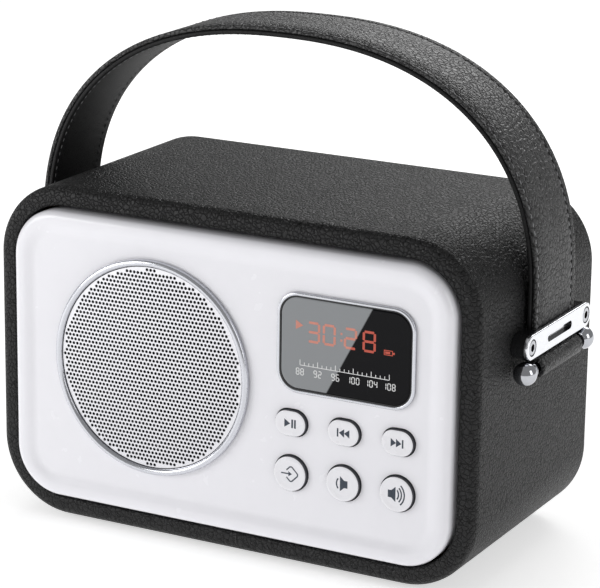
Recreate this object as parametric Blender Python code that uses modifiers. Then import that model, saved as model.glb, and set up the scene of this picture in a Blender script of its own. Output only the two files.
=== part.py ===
"""Portable radio in a leather-covered cabinet, with a carrying strap that slides in side keepers.

Units are metres and +Z is up. The front faces -Y, +X is on the right of someone looking at it.
The underside of the feet is at Z = 0, and the middle of the cabinet is at X = 0, Y = 0.
"""
import math

import bmesh
import bpy
from mathutils import Vector

MM = 0.001

# Cabinet
BODY_WIDTH = 210 * MM
BODY_HEIGHT = 136 * MM
BODY_DEPTH = 107 * MM
CORNER_RADIUS = 30 * MM
FOOT_STANDOFF = 1.8 * MM
GAP = 0.3 * MM
LEATHER = 1.0 * MM
WALL = 5.0 * MM
FRONT_EDGE_RADIUS = 4.0 * MM
REAR_EDGE_RADIUS = 2.5 * MM
LIP_INSET = 7.6 * MM
LIP_DEPTH = 8.5 * MM

FRONT_Y = -BODY_DEPTH / 2
BACK_Y = BODY_DEPTH / 2
MIDDLE_Z = FOOT_STANDOFF + BODY_HEIGHT / 2

# Front panel
PANEL_INSET = 9.2 * MM
PANEL_CORNER = 19.5 * MM
PANEL_PROUD = 4.0 * MM
PANEL_THICKNESS = 2.2 * MM
PANEL_SKIRT = 11.0 * MM
PANEL_EDGE_RADIUS = 3.0 * MM
DISH_DEPTH = 1.2 * MM
DISH_WIDTH = 10.0 * MM
RIM_Y = FRONT_Y - PANEL_PROUD
FACE_Y = RIM_Y + DISH_DEPTH
PANEL_BACK_Y = FACE_Y + PANEL_THICKNESS

# Loudspeaker
SPEAKER_X = -32.5 * MM
SPEAKER_Z = FOOT_STANDOFF + 70.0 * MM
SPEAKER_HOLE = 41.6 * MM
RING_OUTER = 43.4 * MM
GRILLE_RADIUS = 40.4 * MM
CONE_RADIUS = 31.0 * MM
FRAME_RADIUS = 44.0 * MM
MAGNET_RADIUS = 22.0 * MM

# Display
DISPLAY_X = 52.0 * MM
DISPLAY_Z = FOOT_STANDOFF + 90.3 * MM
DISPLAY_WIDTH = 58.0 * MM
DISPLAY_HEIGHT = 39.5 * MM
DISPLAY_CORNER = 9.0 * MM

# Buttons
BUTTON_PITCH = 22.6 * MM
UPPER_ROW_Z = FOOT_STANDOFF + 58.2 * MM
LOWER_ROW_Z = FOOT_STANDOFF + 38.0 * MM
PILL_WIDTH = 13.6 * MM
PILL_HEIGHT = 10.2 * MM
ROUND_BUTTON = 14.0 * MM
BUTTON_PROUD = 1.7 * MM
BOARD_Y = -45.0 * MM
BOARD_THICKNESS = 1.6 * MM

# Carrying strap and its fittings
STRAP_Y = 4.0 * MM
STRAP_WIDTH = 37.0 * MM
STRAP_THICKNESS = 3.8 * MM
STRAP_OUTER_X = 110.0 * MM
ARCH_BASE_Z = FOOT_STANDOFF + 108.0 * MM
ARCH_RISE = 92.0 * MM
ARCH_POWER = 2.34
ARCH_STEPS = 36
ROLL_RADIUS = 4.1 * MM
ROD_RADIUS = 1.75 * MM
ROD_Z = FOOT_STANDOFF + 81.5 * MM
BALL_RADIUS = 4.6 * MM
BALL_SPREAD = 27.5 * MM
KEEPER_Z = FOOT_STANDOFF + 91.5 * MM
KEEPER_LENGTH = 61.0 * MM
KEEPER_HEIGHT = 9.8 * MM
KEEPER_THICKNESS = 1.6 * MM
KEEPER_SLOT_LENGTH = 23.0 * MM
KEEPER_SLOT_HEIGHT = 3.2 * MM
KEEPER_SCREW_SPREAD = 25.6 * MM
KEEPER_SCREW_RADIUS = 3.0 * MM
BRACKET_BASE = 0.6 * MM

# Back
REAR_PANEL_Y = BACK_Y - 1.8 * MM
REAR_PANEL_THICKNESS = 2.2 * MM
IO_BOARD_Y = 44.0 * MM
IO_BOARD_FACE_Y = IO_BOARD_Y + BOARD_THICKNESS
IO_X = -55.0 * MM
SOCKET_FACE_Y = REAR_PANEL_Y - 0.4 * MM
SWITCH_X = -20.0 * MM
SWITCH_Z = 38.0 * MM
SWITCH_TRAVEL = 4.0 * MM

# Aerial
AERIAL_X = 82.0 * MM
AERIAL_Y = 56.6 * MM
AERIAL_Z = 120.0 * MM
AERIAL_LENGTH = 103.5 * MM
BARREL_RADIUS = 3.1 * MM

CELL_RADIUS = 9.2 * MM
CELL_LENGTH = 65.0 * MM
CELL_Y = 12.0 * MM
CELL_Z = 23.0 * MM

FRONTWARD = (math.radians(90), 0, 0)
REARWARD = (math.radians(-90), 0, 0)
RIGHTWARD = (0, math.radians(90), 0)
LEFTWARD = (0, math.radians(-90), 0)

PARTS = "leather_portable_radio"
CUTTERS = "cutters"


def clear_scene():
    """Remove every object and start two empty collections."""
    for existing in list(bpy.data.objects):
        bpy.data.objects.remove(existing, do_unlink=True)
    for name in (PARTS, CUTTERS):
        collection = bpy.data.collections.new(name)
        bpy.context.scene.collection.children.link(collection)


def finish(name, colour, roughness, metallic=0.0):
    """Return the named plain material, made on first use."""
    material = bpy.data.materials.get(name)
    if material is None:
        material = bpy.data.materials.new(name)
        material.use_nodes = True
        shader = material.node_tree.nodes["Principled BSDF"]
        shader.inputs["Base Color"].default_value = (*colour, 1)
        shader.inputs["Roughness"].default_value = roughness
        shader.inputs["Metallic"].default_value = metallic
    return material


def leather():
    return finish("black_leather", (0.035, 0.035, 0.037), 0.55)


def white_plastic():
    return finish("white_plastic", (0.86, 0.86, 0.88), 0.25)


def black_plastic():
    return finish("black_plastic", (0.02, 0.02, 0.022), 0.45)


def chrome():
    return finish("chrome", (0.86, 0.87, 0.88), 0.12, 1.0)


def steel():
    return finish("steel", (0.55, 0.56, 0.57), 0.35, 1.0)


def board_green():
    return finish("circuit_board", (0.03, 0.16, 0.07), 0.5)


def rubber():
    return finish("rubber", (0.02, 0.02, 0.02), 0.8)


def add_object(name, mesh, material, collection=PARTS):
    """Put a mesh in a collection as a named object with one material."""
    piece = bpy.data.objects.new(name, mesh)
    mesh.materials.append(material)
    bpy.data.collections[collection].objects.link(piece)
    return piece


def hide_cutter(cutter):
    """Keep a cutting body out of renders."""
    cutter.hide_render = True
    cutter.display_type = "WIRE"
    return cutter


def arc(centre, radius, start, end, steps):
    """Points on an arc about centre, with both ends, angles in degrees."""
    angles = [math.radians(start + (end - start) * i / steps) for i in range(steps + 1)]
    return [(centre[0] + radius * math.cos(a), centre[1] + radius * math.sin(a)) for a in angles]


def rounded_outline(width, height, radius, steps=6):
    """Outline of a rounded rectangle about the origin, anticlockwise."""
    across = width / 2 - radius
    up = height / 2 - radius
    points = arc((across, up), radius, 0, 90, steps)
    points += arc((-across, up), radius, 90, 180, steps)
    points += arc((-across, -up), radius, 180, 270, steps)
    points += arc((across, -up), radius, 270, 360, steps)
    return points


def pill_outline(width, height, steps=7):
    """Outline of a flat pill about the origin, anticlockwise."""
    radius = height / 2
    across = width / 2 - radius
    return arc((across, 0), radius, -90, 90, steps) + arc((-across, 0), radius, 90, 270, steps)


def round_outline(radius, count=16):
    """Outline of a circle that starts at its lowest point."""
    step = 360 / count
    return arc((0, 0), radius, -90, 270 - step, count - 1)


def facing_front(outline, x, y, z):
    """Stand an outline up in the XZ plane at depth y."""
    return [Vector((x + u, y, z + v)) for u, v in outline]


def facing_side(outline, x, y, z):
    """Stand an outline up in the YZ plane at x."""
    return [Vector((x, y + u, z + v)) for u, v in outline]


def loft(name, rings, material, origin=(0, 0, 0), closed=False, collection=PARTS):
    """Skin a row of equal rings; closed joins the last to the first, otherwise both ends are capped."""
    origin = Vector(origin)
    shape = bmesh.new()
    rows = [[shape.verts.new(point - origin) for point in ring] for ring in rings]
    pairs = list(zip(rows, rows[1:]))
    if closed:
        pairs.append((rows[-1], rows[0]))
    else:
        shape.faces.new(rows[0])
        shape.faces.new(rows[-1])
    count = len(rows[0])
    for first, second in pairs:
        for i in range(count):
            j = (i + 1) % count
            shape.faces.new((first[i], first[j], second[j], second[i]))
    bmesh.ops.recalc_face_normals(shape, faces=shape.faces)
    mesh = bpy.data.meshes.new(name)
    shape.to_mesh(mesh)
    shape.free()
    piece = add_object(name, mesh, material, collection)
    piece.location = origin
    return piece


def block(name, size, centre, material, edge=0.0, collection=PARTS):
    """A box with its own origin at its middle, and softened edges if edge is set."""
    shape = bmesh.new()
    bmesh.ops.create_cube(shape, size=1)
    bmesh.ops.scale(shape, vec=size, verts=shape.verts)
    mesh = bpy.data.meshes.new(name)
    shape.to_mesh(mesh)
    shape.free()
    piece = add_object(name, mesh, material, collection)
    piece.location = centre
    if edge:
        soften = piece.modifiers.new("edge", "BEVEL")
        soften.width = edge
        soften.segments = 1
    return piece


def rod(name, radius, length, centre, turn, material, segments=20, collection=PARTS):
    """A plain cylinder whose own Z axis is turned to the direction wanted."""
    shape = bmesh.new()
    bmesh.ops.create_cone(
        shape, cap_ends=True, segments=segments, radius1=radius, radius2=radius, depth=length
    )
    mesh = bpy.data.meshes.new(name)
    shape.to_mesh(mesh)
    shape.free()
    piece = add_object(name, mesh, material, collection)
    piece.location = centre
    piece.rotation_euler = turn
    return piece


def turned(name, profile, location, turn, material, segments=32, ring=False):
    """Spin a profile of (radius, height) points about the piece's own Z axis."""
    shape = bmesh.new()
    points = [shape.verts.new((radius, 0, height)) for radius, height in profile]
    for first, second in zip(points, points[1:]):
        shape.edges.new((first, second))
    if ring:
        shape.edges.new((points[-1], points[0]))
    mesh = bpy.data.meshes.new(name)
    shape.to_mesh(mesh)
    shape.free()
    piece = add_object(name, mesh, material)
    piece.location = location
    piece.rotation_euler = turn
    spin = piece.modifiers.new("spin", "SCREW")
    spin.axis = "Z"
    spin.angle = math.tau
    spin.steps = segments
    spin.render_steps = segments
    spin.use_merge_vertices = True
    spin.merge_threshold = 0.00001
    return piece


def carve(piece, cutter, operation="DIFFERENCE"):
    """Cut a hidden body out of a piece."""
    hide_cutter(cutter)
    change = piece.modifiers.new(cutter.name, "BOOLEAN")
    change.operation = operation
    change.solver = "EXACT"
    change.object = cutter


def carried_by(child, parent):
    """Parent a piece, keeping it where it was built."""
    child.location = Vector(child.location) - Vector(parent.location)
    child.parent = parent


def cabinet_ring(inset, y):
    """The cabinet's outline, drawn in by inset, at depth y."""
    outline = rounded_outline(
        BODY_WIDTH - 2 * inset, BODY_HEIGHT - 2 * inset, CORNER_RADIUS - inset
    )
    return facing_front(outline, 0, y, MIDDLE_Z)


def edge_arc(radius, centre_inset, centre_y, start, end, steps=4):
    """Corner points of a cabinet section as (inset, y)."""
    return arc((centre_inset, centre_y), radius, start, end, steps)


def make_cabinet():
    """The board sleeve and the leather that wraps it and turns in at both ends."""
    front_centre = FRONT_Y + FRONT_EDGE_RADIUS
    back_centre = BACK_Y - REAR_EDGE_RADIUS
    turn = 0.8 * MM
    inner_lip = LIP_INSET - LEATHER
    outside = [
        (LIP_INSET, FRONT_Y + LIP_DEPTH),
        (LIP_INSET, FRONT_Y + turn),
        (LIP_INSET - turn, FRONT_Y),
    ]
    outside += edge_arc(FRONT_EDGE_RADIUS, FRONT_EDGE_RADIUS, front_centre, 270, 180)
    outside += edge_arc(REAR_EDGE_RADIUS, REAR_EDGE_RADIUS, back_centre, 180, 90, 3)
    outside += [
        (LIP_INSET - turn, BACK_Y),
        (LIP_INSET, BACK_Y - turn),
        (LIP_INSET, BACK_Y - LIP_DEPTH / 2),
    ]
    inside = [(inner_lip, BACK_Y - LIP_DEPTH / 2), (inner_lip, BACK_Y - LEATHER)]
    inside += edge_arc(REAR_EDGE_RADIUS - LEATHER, REAR_EDGE_RADIUS, back_centre, 90, 180, 3)
    inside += edge_arc(FRONT_EDGE_RADIUS - LEATHER, FRONT_EDGE_RADIUS, front_centre, 180, 270)
    inside += [(inner_lip, FRONT_Y + LEATHER), (inner_lip, FRONT_Y + LIP_DEPTH)]
    rings = [cabinet_ring(inset, y) for inset, y in outside + inside]
    loft("leather_wrap", rings, leather(), closed=True)

    skin = LEATHER + GAP
    wall_inside = skin + WALL
    section = [(wall_inside, FRONT_Y + skin)]
    section += edge_arc(FRONT_EDGE_RADIUS - skin, FRONT_EDGE_RADIUS, front_centre, 270, 180)
    section += edge_arc(REAR_EDGE_RADIUS - skin, REAR_EDGE_RADIUS, back_centre, 180, 90, 2)
    section += [(wall_inside, BACK_Y - skin)]
    board = finish("wood_board", (0.42, 0.30, 0.19), 0.7)
    rings = [cabinet_ring(inset, y) for inset, y in section]
    loft("cabinet_shell", rings, board, closed=True)


def panel_ring(inset, y):
    """The front panel's outline, drawn in by inset, at depth y."""
    width = BODY_WIDTH - 2 * PANEL_INSET - 2 * inset
    height = BODY_HEIGHT - 2 * PANEL_INSET - 2 * inset
    return facing_front(rounded_outline(width, height, PANEL_CORNER - inset), 0, y, MIDDLE_Z)


def button_places():
    """Name, kind, x and z of each push button."""
    upper = ("play_button", "previous_button", "next_button")
    lower = ("source_button", "volume_down_button", "volume_up_button")
    places = []
    for column, (top, bottom) in enumerate(zip(upper, lower)):
        x = DISPLAY_X + (column - 1) * BUTTON_PITCH
        places.append((top, "pill", x, UPPER_ROW_Z))
        places.append((bottom, "round", x, LOWER_ROW_Z))
    return places


def button_outline(kind, grow=0.0):
    """Outline of a button's cap, grown or drawn in."""
    if kind == "pill":
        return pill_outline(PILL_WIDTH + 2 * grow, PILL_HEIGHT + 2 * grow)
    return round_outline(ROUND_BUTTON / 2 + grow)


def make_front_panel():
    """The dished moulding with its openings."""
    edge = PANEL_EDGE_RADIUS
    section = [(DISH_WIDTH, FACE_Y), (DISH_WIDTH - 2 * MM, FACE_Y - 0.12 * MM)]
    section += [(DISH_WIDTH - 4 * MM, RIM_Y + 0.55 * MM), (edge + 1 * MM, RIM_Y + 0.08 * MM)]
    section += edge_arc(edge, edge, RIM_Y + edge, 270, 180, 5)
    section += [(0, RIM_Y + PANEL_SKIRT), (2 * MM, RIM_Y + PANEL_SKIRT)]
    section += [(2 * MM, RIM_Y + 4.2 * MM), (4 * MM, RIM_Y + 2.9 * MM)]
    section += [(DISH_WIDTH, PANEL_BACK_Y)]
    rings = [panel_ring(inset, y) for inset, y in section]
    panel = loft("front_panel", rings, white_plastic())

    hole = rod(
        "speaker_hole", SPEAKER_HOLE, 20 * MM, (SPEAKER_X, FACE_Y, SPEAKER_Z), FRONTWARD,
        white_plastic(), segments=48, collection=CUTTERS,
    )
    carve(panel, hole)
    window = bezel_outline(0.9 * MM)
    openings = [("display_hole", window, DISPLAY_X, DISPLAY_Z)]
    for name, kind, x, z in button_places():
        openings.append((name + "_hole", button_outline(kind, 0.35 * MM), x, z))
    for name, outline, x, z in openings:
        ends = [facing_front(outline, x, y, z) for y in (RIM_Y - 5 * MM, RIM_Y + 8 * MM)]
        carve(panel, loft(name, ends, white_plastic(), collection=CUTTERS))


def make_speaker():
    """Trim ring, grille and the loudspeaker behind them; heights run forward from Y = 0."""
    centre = (SPEAKER_X, 0, SPEAKER_Z)
    face = -FACE_Y
    inner = GRILLE_RADIUS + GAP
    neck = SPEAKER_HOLE - GAP
    trim = [
        (42.0 * MM, face + 2.4 * MM), (42.9 * MM, face + 2.0 * MM), (RING_OUTER, face + 1.1 * MM),
        (RING_OUTER, face + GAP), (neck, face + GAP), (neck, face - 1.9 * MM),
        (inner, face - 1.9 * MM), (inner, face + 1.2 * MM), (inner + 0.4 * MM, face + 2.0 * MM),
    ]
    turned("speaker_ring", trim, centre, FRONTWARD, chrome(), 40, ring=True)

    rise = 0.6 * MM
    sheet = 0.6 * MM
    low = face + 0.4 * MM
    dome = [(0, low + rise + sheet), (GRILLE_RADIUS * 0.6, low + rise * 0.6 + sheet)]
    dome += [(GRILLE_RADIUS, low + sheet), (GRILLE_RADIUS, low)]
    dome += [(GRILLE_RADIUS * 0.6, low + rise * 0.6), (0, low + rise)]
    silver = finish("silver_mesh", (0.8, 0.8, 0.8), 0.35, 0.8)
    turned("speaker_grille", dome, centre, FRONTWARD, silver, 36)

    back = -PANEL_BACK_Y
    seat = back - GAP
    opening = CONE_RADIUS + 7.3 * MM
    basket = [
        (FRAME_RADIUS, seat), (FRAME_RADIUS, seat - 1.5 * MM), (opening + 1.6 * MM, seat - 1.5 * MM),
        (opening + 1.6 * MM, seat - 5.2 * MM), (24.5 * MM, 31 * MM), (24.5 * MM, 28.5 * MM),
        (12 * MM, 28.5 * MM), (12 * MM, 30 * MM), (22.8 * MM, 30 * MM), (23 * MM, 31.5 * MM),
        (opening, seat - 5 * MM), (opening, seat),
    ]
    turned("speaker_basket", basket, centre, FRONTWARD, black_plastic(), 24, ring=True)
    magnet = [(0, 28.2 * MM), (MAGNET_RADIUS - 1 * MM, 28.2 * MM), (MAGNET_RADIUS, 27.2 * MM)]
    magnet += [(MAGNET_RADIUS, 17 * MM), (MAGNET_RADIUS - 1 * MM, 16 * MM), (0, 16 * MM)]
    turned("speaker_magnet", magnet, centre, FRONTWARD, steel(), 24)

    rim = 50 * MM
    cone = [
        (0, rim - 8.5 * MM), (5 * MM, rim - 9.2 * MM), (9 * MM, rim - 11 * MM),
        (CONE_RADIUS - 3 * MM, rim - 0.5 * MM), (CONE_RADIUS, rim), (CONE_RADIUS, rim - 0.8 * MM),
        (CONE_RADIUS - 2.8 * MM, rim - 1.4 * MM), (10 * MM, rim - 12.1 * MM),
        (10 * MM, rim - 18 * MM), (9.2 * MM, rim - 18 * MM), (9.2 * MM, rim - 12.4 * MM),
        (5 * MM, rim - 10.2 * MM), (0, rim - 9.4 * MM),
    ]
    paper = finish("speaker_paper", (0.03, 0.03, 0.03), 0.85)
    turned("speaker_cone", cone, centre, FRONTWARD, paper, 24)
    middle = CONE_RADIUS + 3.65 * MM
    roll = arc((middle, rim), 3.3 * MM, 90, 0, 2) + arc((middle, rim), 2.6 * MM, 0, 180, 4)
    roll += arc((middle, rim), 3.3 * MM, 180, 135, 1)
    turned("speaker_surround", roll, centre, FRONTWARD, rubber(), 24, ring=True)


def bezel_outline(inset):
    """The display surround's outline, drawn in by inset."""
    return rounded_outline(
        DISPLAY_WIDTH - 2 * inset, DISPLAY_HEIGHT - 2 * inset, DISPLAY_CORNER - inset, 5
    )


def make_display():
    """Trim frame, glossy window and the lit module behind it."""
    lip = FACE_Y - GAP
    section = [
        (0, lip), (0, lip - 0.6 * MM), (0.4 * MM, lip - 1.0 * MM), (1.2 * MM, lip - 1.0 * MM),
        (1.6 * MM, lip - 0.6 * MM), (1.6 * MM, FACE_Y + 2 * MM), (1.2 * MM, FACE_Y + 2 * MM),
        (1.2 * MM, lip),
    ]
    rings = [facing_front(bezel_outline(o), DISPLAY_X, y, DISPLAY_Z) for o, y in section]
    loft("display_bezel", rings, chrome(), closed=True)
    glass = finish("dark_window", (0.02, 0.02, 0.022), 0.05)
    section = [(1.9 * MM, FACE_Y + 1.2 * MM), (1.9 * MM, lip - 0.4 * MM), (2.3 * MM, lip - 0.7 * MM)]
    rings = [facing_front(bezel_outline(o), DISPLAY_X, y, DISPLAY_Z) for o, y in section]
    loft("display_window", rings, glass)
    depth = 8 * MM
    place = (DISPLAY_X, FACE_Y + 1.6 * MM + depth / 2, DISPLAY_Z)
    block("display_module", (50 * MM, depth, 31 * MM), place, black_plastic(), 0.5 * MM)


def make_buttons():
    """Caps with a retaining flange and a stem that meets a small switch."""
    plastic = finish("button_plastic", (0.83, 0.83, 0.85), 0.3)
    front = FACE_Y - BUTTON_PROUD
    flange = PANEL_BACK_Y + GAP
    for name, kind, x, z in button_places():
        section = [
            (-3.2 * MM, front + 0.25 * MM), (-1.2 * MM, front), (-0.35 * MM, front + 0.15 * MM),
            (0, front + 0.6 * MM), (0, flange), (1.0 * MM, flange), (1.0 * MM, flange + 0.8 * MM),
        ]
        rings = [facing_front(button_outline(kind, grow), x, y, z) for grow, y in section]
        for y in (flange + 0.8 * MM, flange + 2.4 * MM):
            rings.append(facing_front(round_outline(2 * MM), x, y, z))
        loft(name, rings, plastic, origin=(x, front, z))
        make_tact_switch(name.replace("button", "switch"), x, z)


def make_tact_switch(name, x, z):
    """A square switch on the board with a plunger towards its button."""
    base = BOARD_Y - GAP
    section = [(3 * MM, base), (3 * MM, base - 3.4 * MM), (1.6 * MM, base - 3.4 * MM)]
    section += [(1.6 * MM, base - 4.4 * MM)]
    rings = []
    for half, y in section:
        square = [(half, half), (-half, half), (-half, -half), (half, -half)]
        rings.append(facing_front(square, x, y, z))
    loft(name, rings, black_plastic())


def make_boards():
    """The control board behind the panel and the socket board behind the back."""
    low = FOOT_STANDOFF + 24 * MM
    high = FOOT_STANDOFF + 112 * MM
    place = (DISPLAY_X, BOARD_Y + BOARD_THICKNESS / 2, (low + high) / 2)
    block("main_board", (66 * MM, BOARD_THICKNESS, high - low), place, board_green())
    place = (IO_X + 8 * MM, IO_BOARD_Y + BOARD_THICKNESS / 2, SWITCH_Z)
    block("socket_board", (96 * MM, BOARD_THICKNESS, 34 * MM), place, board_green())


def socket_places():
    """Name, x, z, body width and height, mouth width and height of each socket."""
    return [
        ("usb_socket", IO_X - 25 * MM, SWITCH_Z, 14.4 * MM, 7.2 * MM, 12.6 * MM, 5.2 * MM),
        ("card_slot", IO_X - 4 * MM, SWITCH_Z, 15.0 * MM, 4.0 * MM, 12.0 * MM, 1.6 * MM),
        ("charging_socket", IO_X + 14 * MM, SWITCH_Z, 8.6 * MM, 4.4 * MM, 7.0 * MM, 2.4 * MM),
    ]


def make_sockets():
    """Metal sockets that reach into the openings of the back, and the round audio jack."""
    base = IO_BOARD_FACE_Y + GAP
    length = SOCKET_FACE_Y - base
    for name, x, z, width, height, mouth_width, mouth_height in socket_places():
        place = (x, base + length / 2, z)
        body = block(name, (width, length, height), place, steel())
        mouth = (x, base + length / 2 + 1 * MM, z)
        cut = block(
            name + "_mouth", (mouth_width, length, mouth_height), mouth, steel(),
            collection=CUTTERS,
        )
        carve(body, cut)
    jack = [
        (0, 0.6 * MM), (1.8 * MM, 0.6 * MM), (1.8 * MM, length), (3.6 * MM, length),
        (3.6 * MM, 0), (0, 0),
    ]
    place = (IO_X + 49 * MM, base, SWITCH_Z)
    turned("audio_jack", jack, place, REARWARD, black_plastic(), 16)
    block(
        "power_switch_body", (11 * MM, 2.6 * MM, 6 * MM),
        (SWITCH_X - 3 * MM, base + 1.3 * MM, SWITCH_Z), steel(),
    )


def make_power_slider():
    """The knob of the power switch, at its off position."""
    low = IO_BOARD_FACE_Y + 2 * GAP + 2.6 * MM
    high = REAR_PANEL_Y + 1.2 * MM
    place = (SWITCH_X - SWITCH_TRAVEL, (low + high) / 2, SWITCH_Z)
    block("power_slider", (4 * MM, high - low, 3.2 * MM), place, black_plastic(), 0.3 * MM)


def rear_screw_places():
    """x and z of the screws of the back."""
    across = BODY_WIDTH / 2 - 14 * MM
    up = BODY_HEIGHT / 2 - 31 * MM
    return [(sx * across, MIDDLE_Z + sz * up) for sx in (-1, 1) for sz in (-1, 1)]


def make_back():
    """The plastic back, its openings and its screws."""
    inset = LIP_INSET + 0.4 * MM
    soft = 0.5 * MM
    section = [(inset, REAR_PANEL_Y - REAR_PANEL_THICKNESS), (inset, REAR_PANEL_Y - soft)]
    section += [(inset + soft, REAR_PANEL_Y)]
    panel = loft("rear_panel", [cabinet_ring(o, y) for o, y in section], black_plastic())
    clearance = 0.8 * MM
    for name, x, z, width, height, _, _ in socket_places():
        size = (width + clearance, 12 * MM, height + clearance)
        cut = block(name + "_opening", size, (x, REAR_PANEL_Y, z), steel(), collection=CUTTERS)
        carve(panel, cut)
    slot = block(
        "slider_opening", (SWITCH_TRAVEL + 5.2 * MM, 12 * MM, 4.2 * MM),
        (SWITCH_X - SWITCH_TRAVEL / 2, REAR_PANEL_Y, SWITCH_Z), steel(), collection=CUTTERS,
    )
    carve(panel, slot)
    hole = rod(
        "jack_opening", 4.0 * MM, 12 * MM, (IO_X + 49 * MM, REAR_PANEL_Y, SWITCH_Z), REARWARD,
        steel(), collection=CUTTERS,
    )
    carve(panel, hole)
    shank = 1.4 * MM
    for number, (x, z) in enumerate(rear_screw_places(), start=1):
        hole = rod(
            f"rear_screw_{number}_opening", shank + 0.35 * MM, 12 * MM, (x, REAR_PANEL_Y, z),
            REARWARD, steel(), segments=12, collection=CUTTERS,
        )
        carve(panel, hole)
        head = [
            (0, 1.5 * MM), (1.9 * MM, 1.4 * MM), (2.8 * MM, 0.8 * MM), (2.8 * MM, 0.35 * MM),
            (shank, 0.35 * MM), (shank, -5.5 * MM), (0, -6 * MM),
        ]
        turned(f"rear_screw_{number}", head, (x, REAR_PANEL_Y, z), REARWARD, steel(), 12)


def make_battery():
    """A round cell in a plastic cradle on the floor of the cabinet."""
    place = (0, CELL_Y, CELL_Z)
    cell = [(0, CELL_LENGTH / 2), (CELL_RADIUS - 0.6 * MM, CELL_LENGTH / 2)]
    cell += [(CELL_RADIUS, CELL_LENGTH / 2 - 0.6 * MM), (CELL_RADIUS, -CELL_LENGTH / 2)]
    cell += [(0, -CELL_LENGTH / 2)]
    wrap = finish("cell_wrap", (0.05, 0.18, 0.42), 0.4)
    turned("battery_cell", cell, place, RIGHTWARD, wrap, 20)
    inner = CELL_RADIUS + 0.4 * MM
    outer = inner + 1.6 * MM
    floor = FOOT_STANDOFF + LEATHER + 2 * GAP + WALL + 0.2 * MM
    drop = floor - CELL_Z
    outline = arc((0, 0), inner, -180, 0, 10) + [(outer, 0), (outer, drop), (-outer, drop)]
    outline += [(-outer, 0)]
    half = CELL_LENGTH / 2 + 2 * MM
    ends = [facing_side(outline, x, CELL_Y, CELL_Z) for x in (-half, half)]
    loft("battery_cradle", ends, black_plastic())


def make_feet():
    """Four rubber pads under the cabinet."""
    height = FOOT_STANDOFF - GAP
    for side, sx in (("left", -1), ("right", 1)):
        for end, sy in (("front", -1), ("rear", 1)):
            profile = [(0, height), (6 * MM, height), (6 * MM, 0.4 * MM), (5.6 * MM, 0), (0, 0)]
            place = (sx * 66 * MM, sy * 36 * MM, 0)
            turned(f"{side}_{end}_foot", profile, place, (0, 0, 0), rubber(), 16)


def make_side_fittings():
    """On each side, a plastic bracket, the polished keeper over the strap and its two screws."""
    for side, sign, turn in (("left", -1, LEFTWARD), ("right", 1, RIGHTWARD)):
        wall = BODY_WIDTH / 2 + GAP
        top = STRAP_OUTER_X + GAP
        outline = pill_outline(KEEPER_LENGTH, KEEPER_HEIGHT, 8)
        ends = [facing_side(outline, sign * x, STRAP_Y, KEEPER_Z) for x in (wall, top)]
        bracket = loft(f"{side}_strap_bracket", ends, black_plastic())
        floor = wall + BRACKET_BASE
        channel = block(
            f"{side}_strap_channel", (10 * MM, STRAP_WIDTH + 0.8 * MM, 20 * MM),
            (sign * (floor + 5 * MM), STRAP_Y, KEEPER_Z), black_plastic(), collection=CUTTERS,
        )
        carve(bracket, channel)

        face = top + GAP + KEEPER_THICKNESS
        ends = [facing_side(outline, sign * x, STRAP_Y, KEEPER_Z) for x in (top + GAP, face)]
        keeper = loft(f"{side}_keeper_plate", ends, chrome())
        slot = pill_outline(KEEPER_SLOT_LENGTH, KEEPER_SLOT_HEIGHT, 6)
        reach = (top - 1 * MM, face + 1 * MM)
        cut = [facing_side(slot, sign * x, STRAP_Y, KEEPER_Z) for x in reach]
        carve(keeper, loft(f"{side}_keeper_slot", cut, chrome(), collection=CUTTERS))
        for end, sy in (("front", -1), ("rear", 1)):
            y = STRAP_Y + sy * KEEPER_SCREW_SPREAD
            name = f"{side}_{end}_keeper_screw"
            hole = rod(
                name + "_hole", KEEPER_SCREW_RADIUS + 0.35 * MM, 6 * MM, (sign * face, y, KEEPER_Z),
                turn, chrome(), segments=20, collection=CUTTERS,
            )
            carve(keeper, hole)
            bore = rod(
                name + "_bore", 1.85 * MM, 8 * MM, (sign * (floor + 4 * MM), y, KEEPER_Z),
                turn, chrome(), segments=12, collection=CUTTERS,
            )
            carve(bracket, bore)
            depth = face - floor - 0.4 * MM
            head = [
                (0, -0.8 * MM), (1.3 * MM, -0.8 * MM), (1.3 * MM, 0), (KEEPER_SCREW_RADIUS, 0),
                (KEEPER_SCREW_RADIUS, -1.5 * MM), (1.5 * MM, -1.5 * MM), (1.5 * MM, -depth),
                (0, -depth),
            ]
            turned(name, head, (sign * face, y, KEEPER_Z), turn, steel(), 14)


def strap_outline():
    """Side view of the strap: an arch whose legs end in a roll around a rod, left end first."""
    roll_x = STRAP_OUTER_X - STRAP_THICKNESS + ROLL_RADIUS
    outer = []
    inner = []
    for i in range(ARCH_STEPS + 1):
        angle = math.pi * i / ARCH_STEPS
        for points, inset in ((outer, 0.0), (inner, STRAP_THICKNESS)):
            power = 2 / ARCH_POWER
            reach = STRAP_OUTER_X - inset
            rise = ARCH_RISE - inset
            x = math.copysign(reach * abs(math.cos(angle)) ** power, math.cos(angle))
            points.append((x, ARCH_BASE_Z + rise * math.sin(angle) ** power))
    notch = math.degrees(math.acos((STRAP_OUTER_X - roll_x) / ROLL_RADIUS))
    right_roll = arc((roll_x, ROD_Z), ROLL_RADIUS, -180, notch, 12)
    left_roll = [(-x, z) for x, z in reversed(right_roll)]
    return outer + left_roll + list(reversed(inner)) + right_roll


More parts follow.
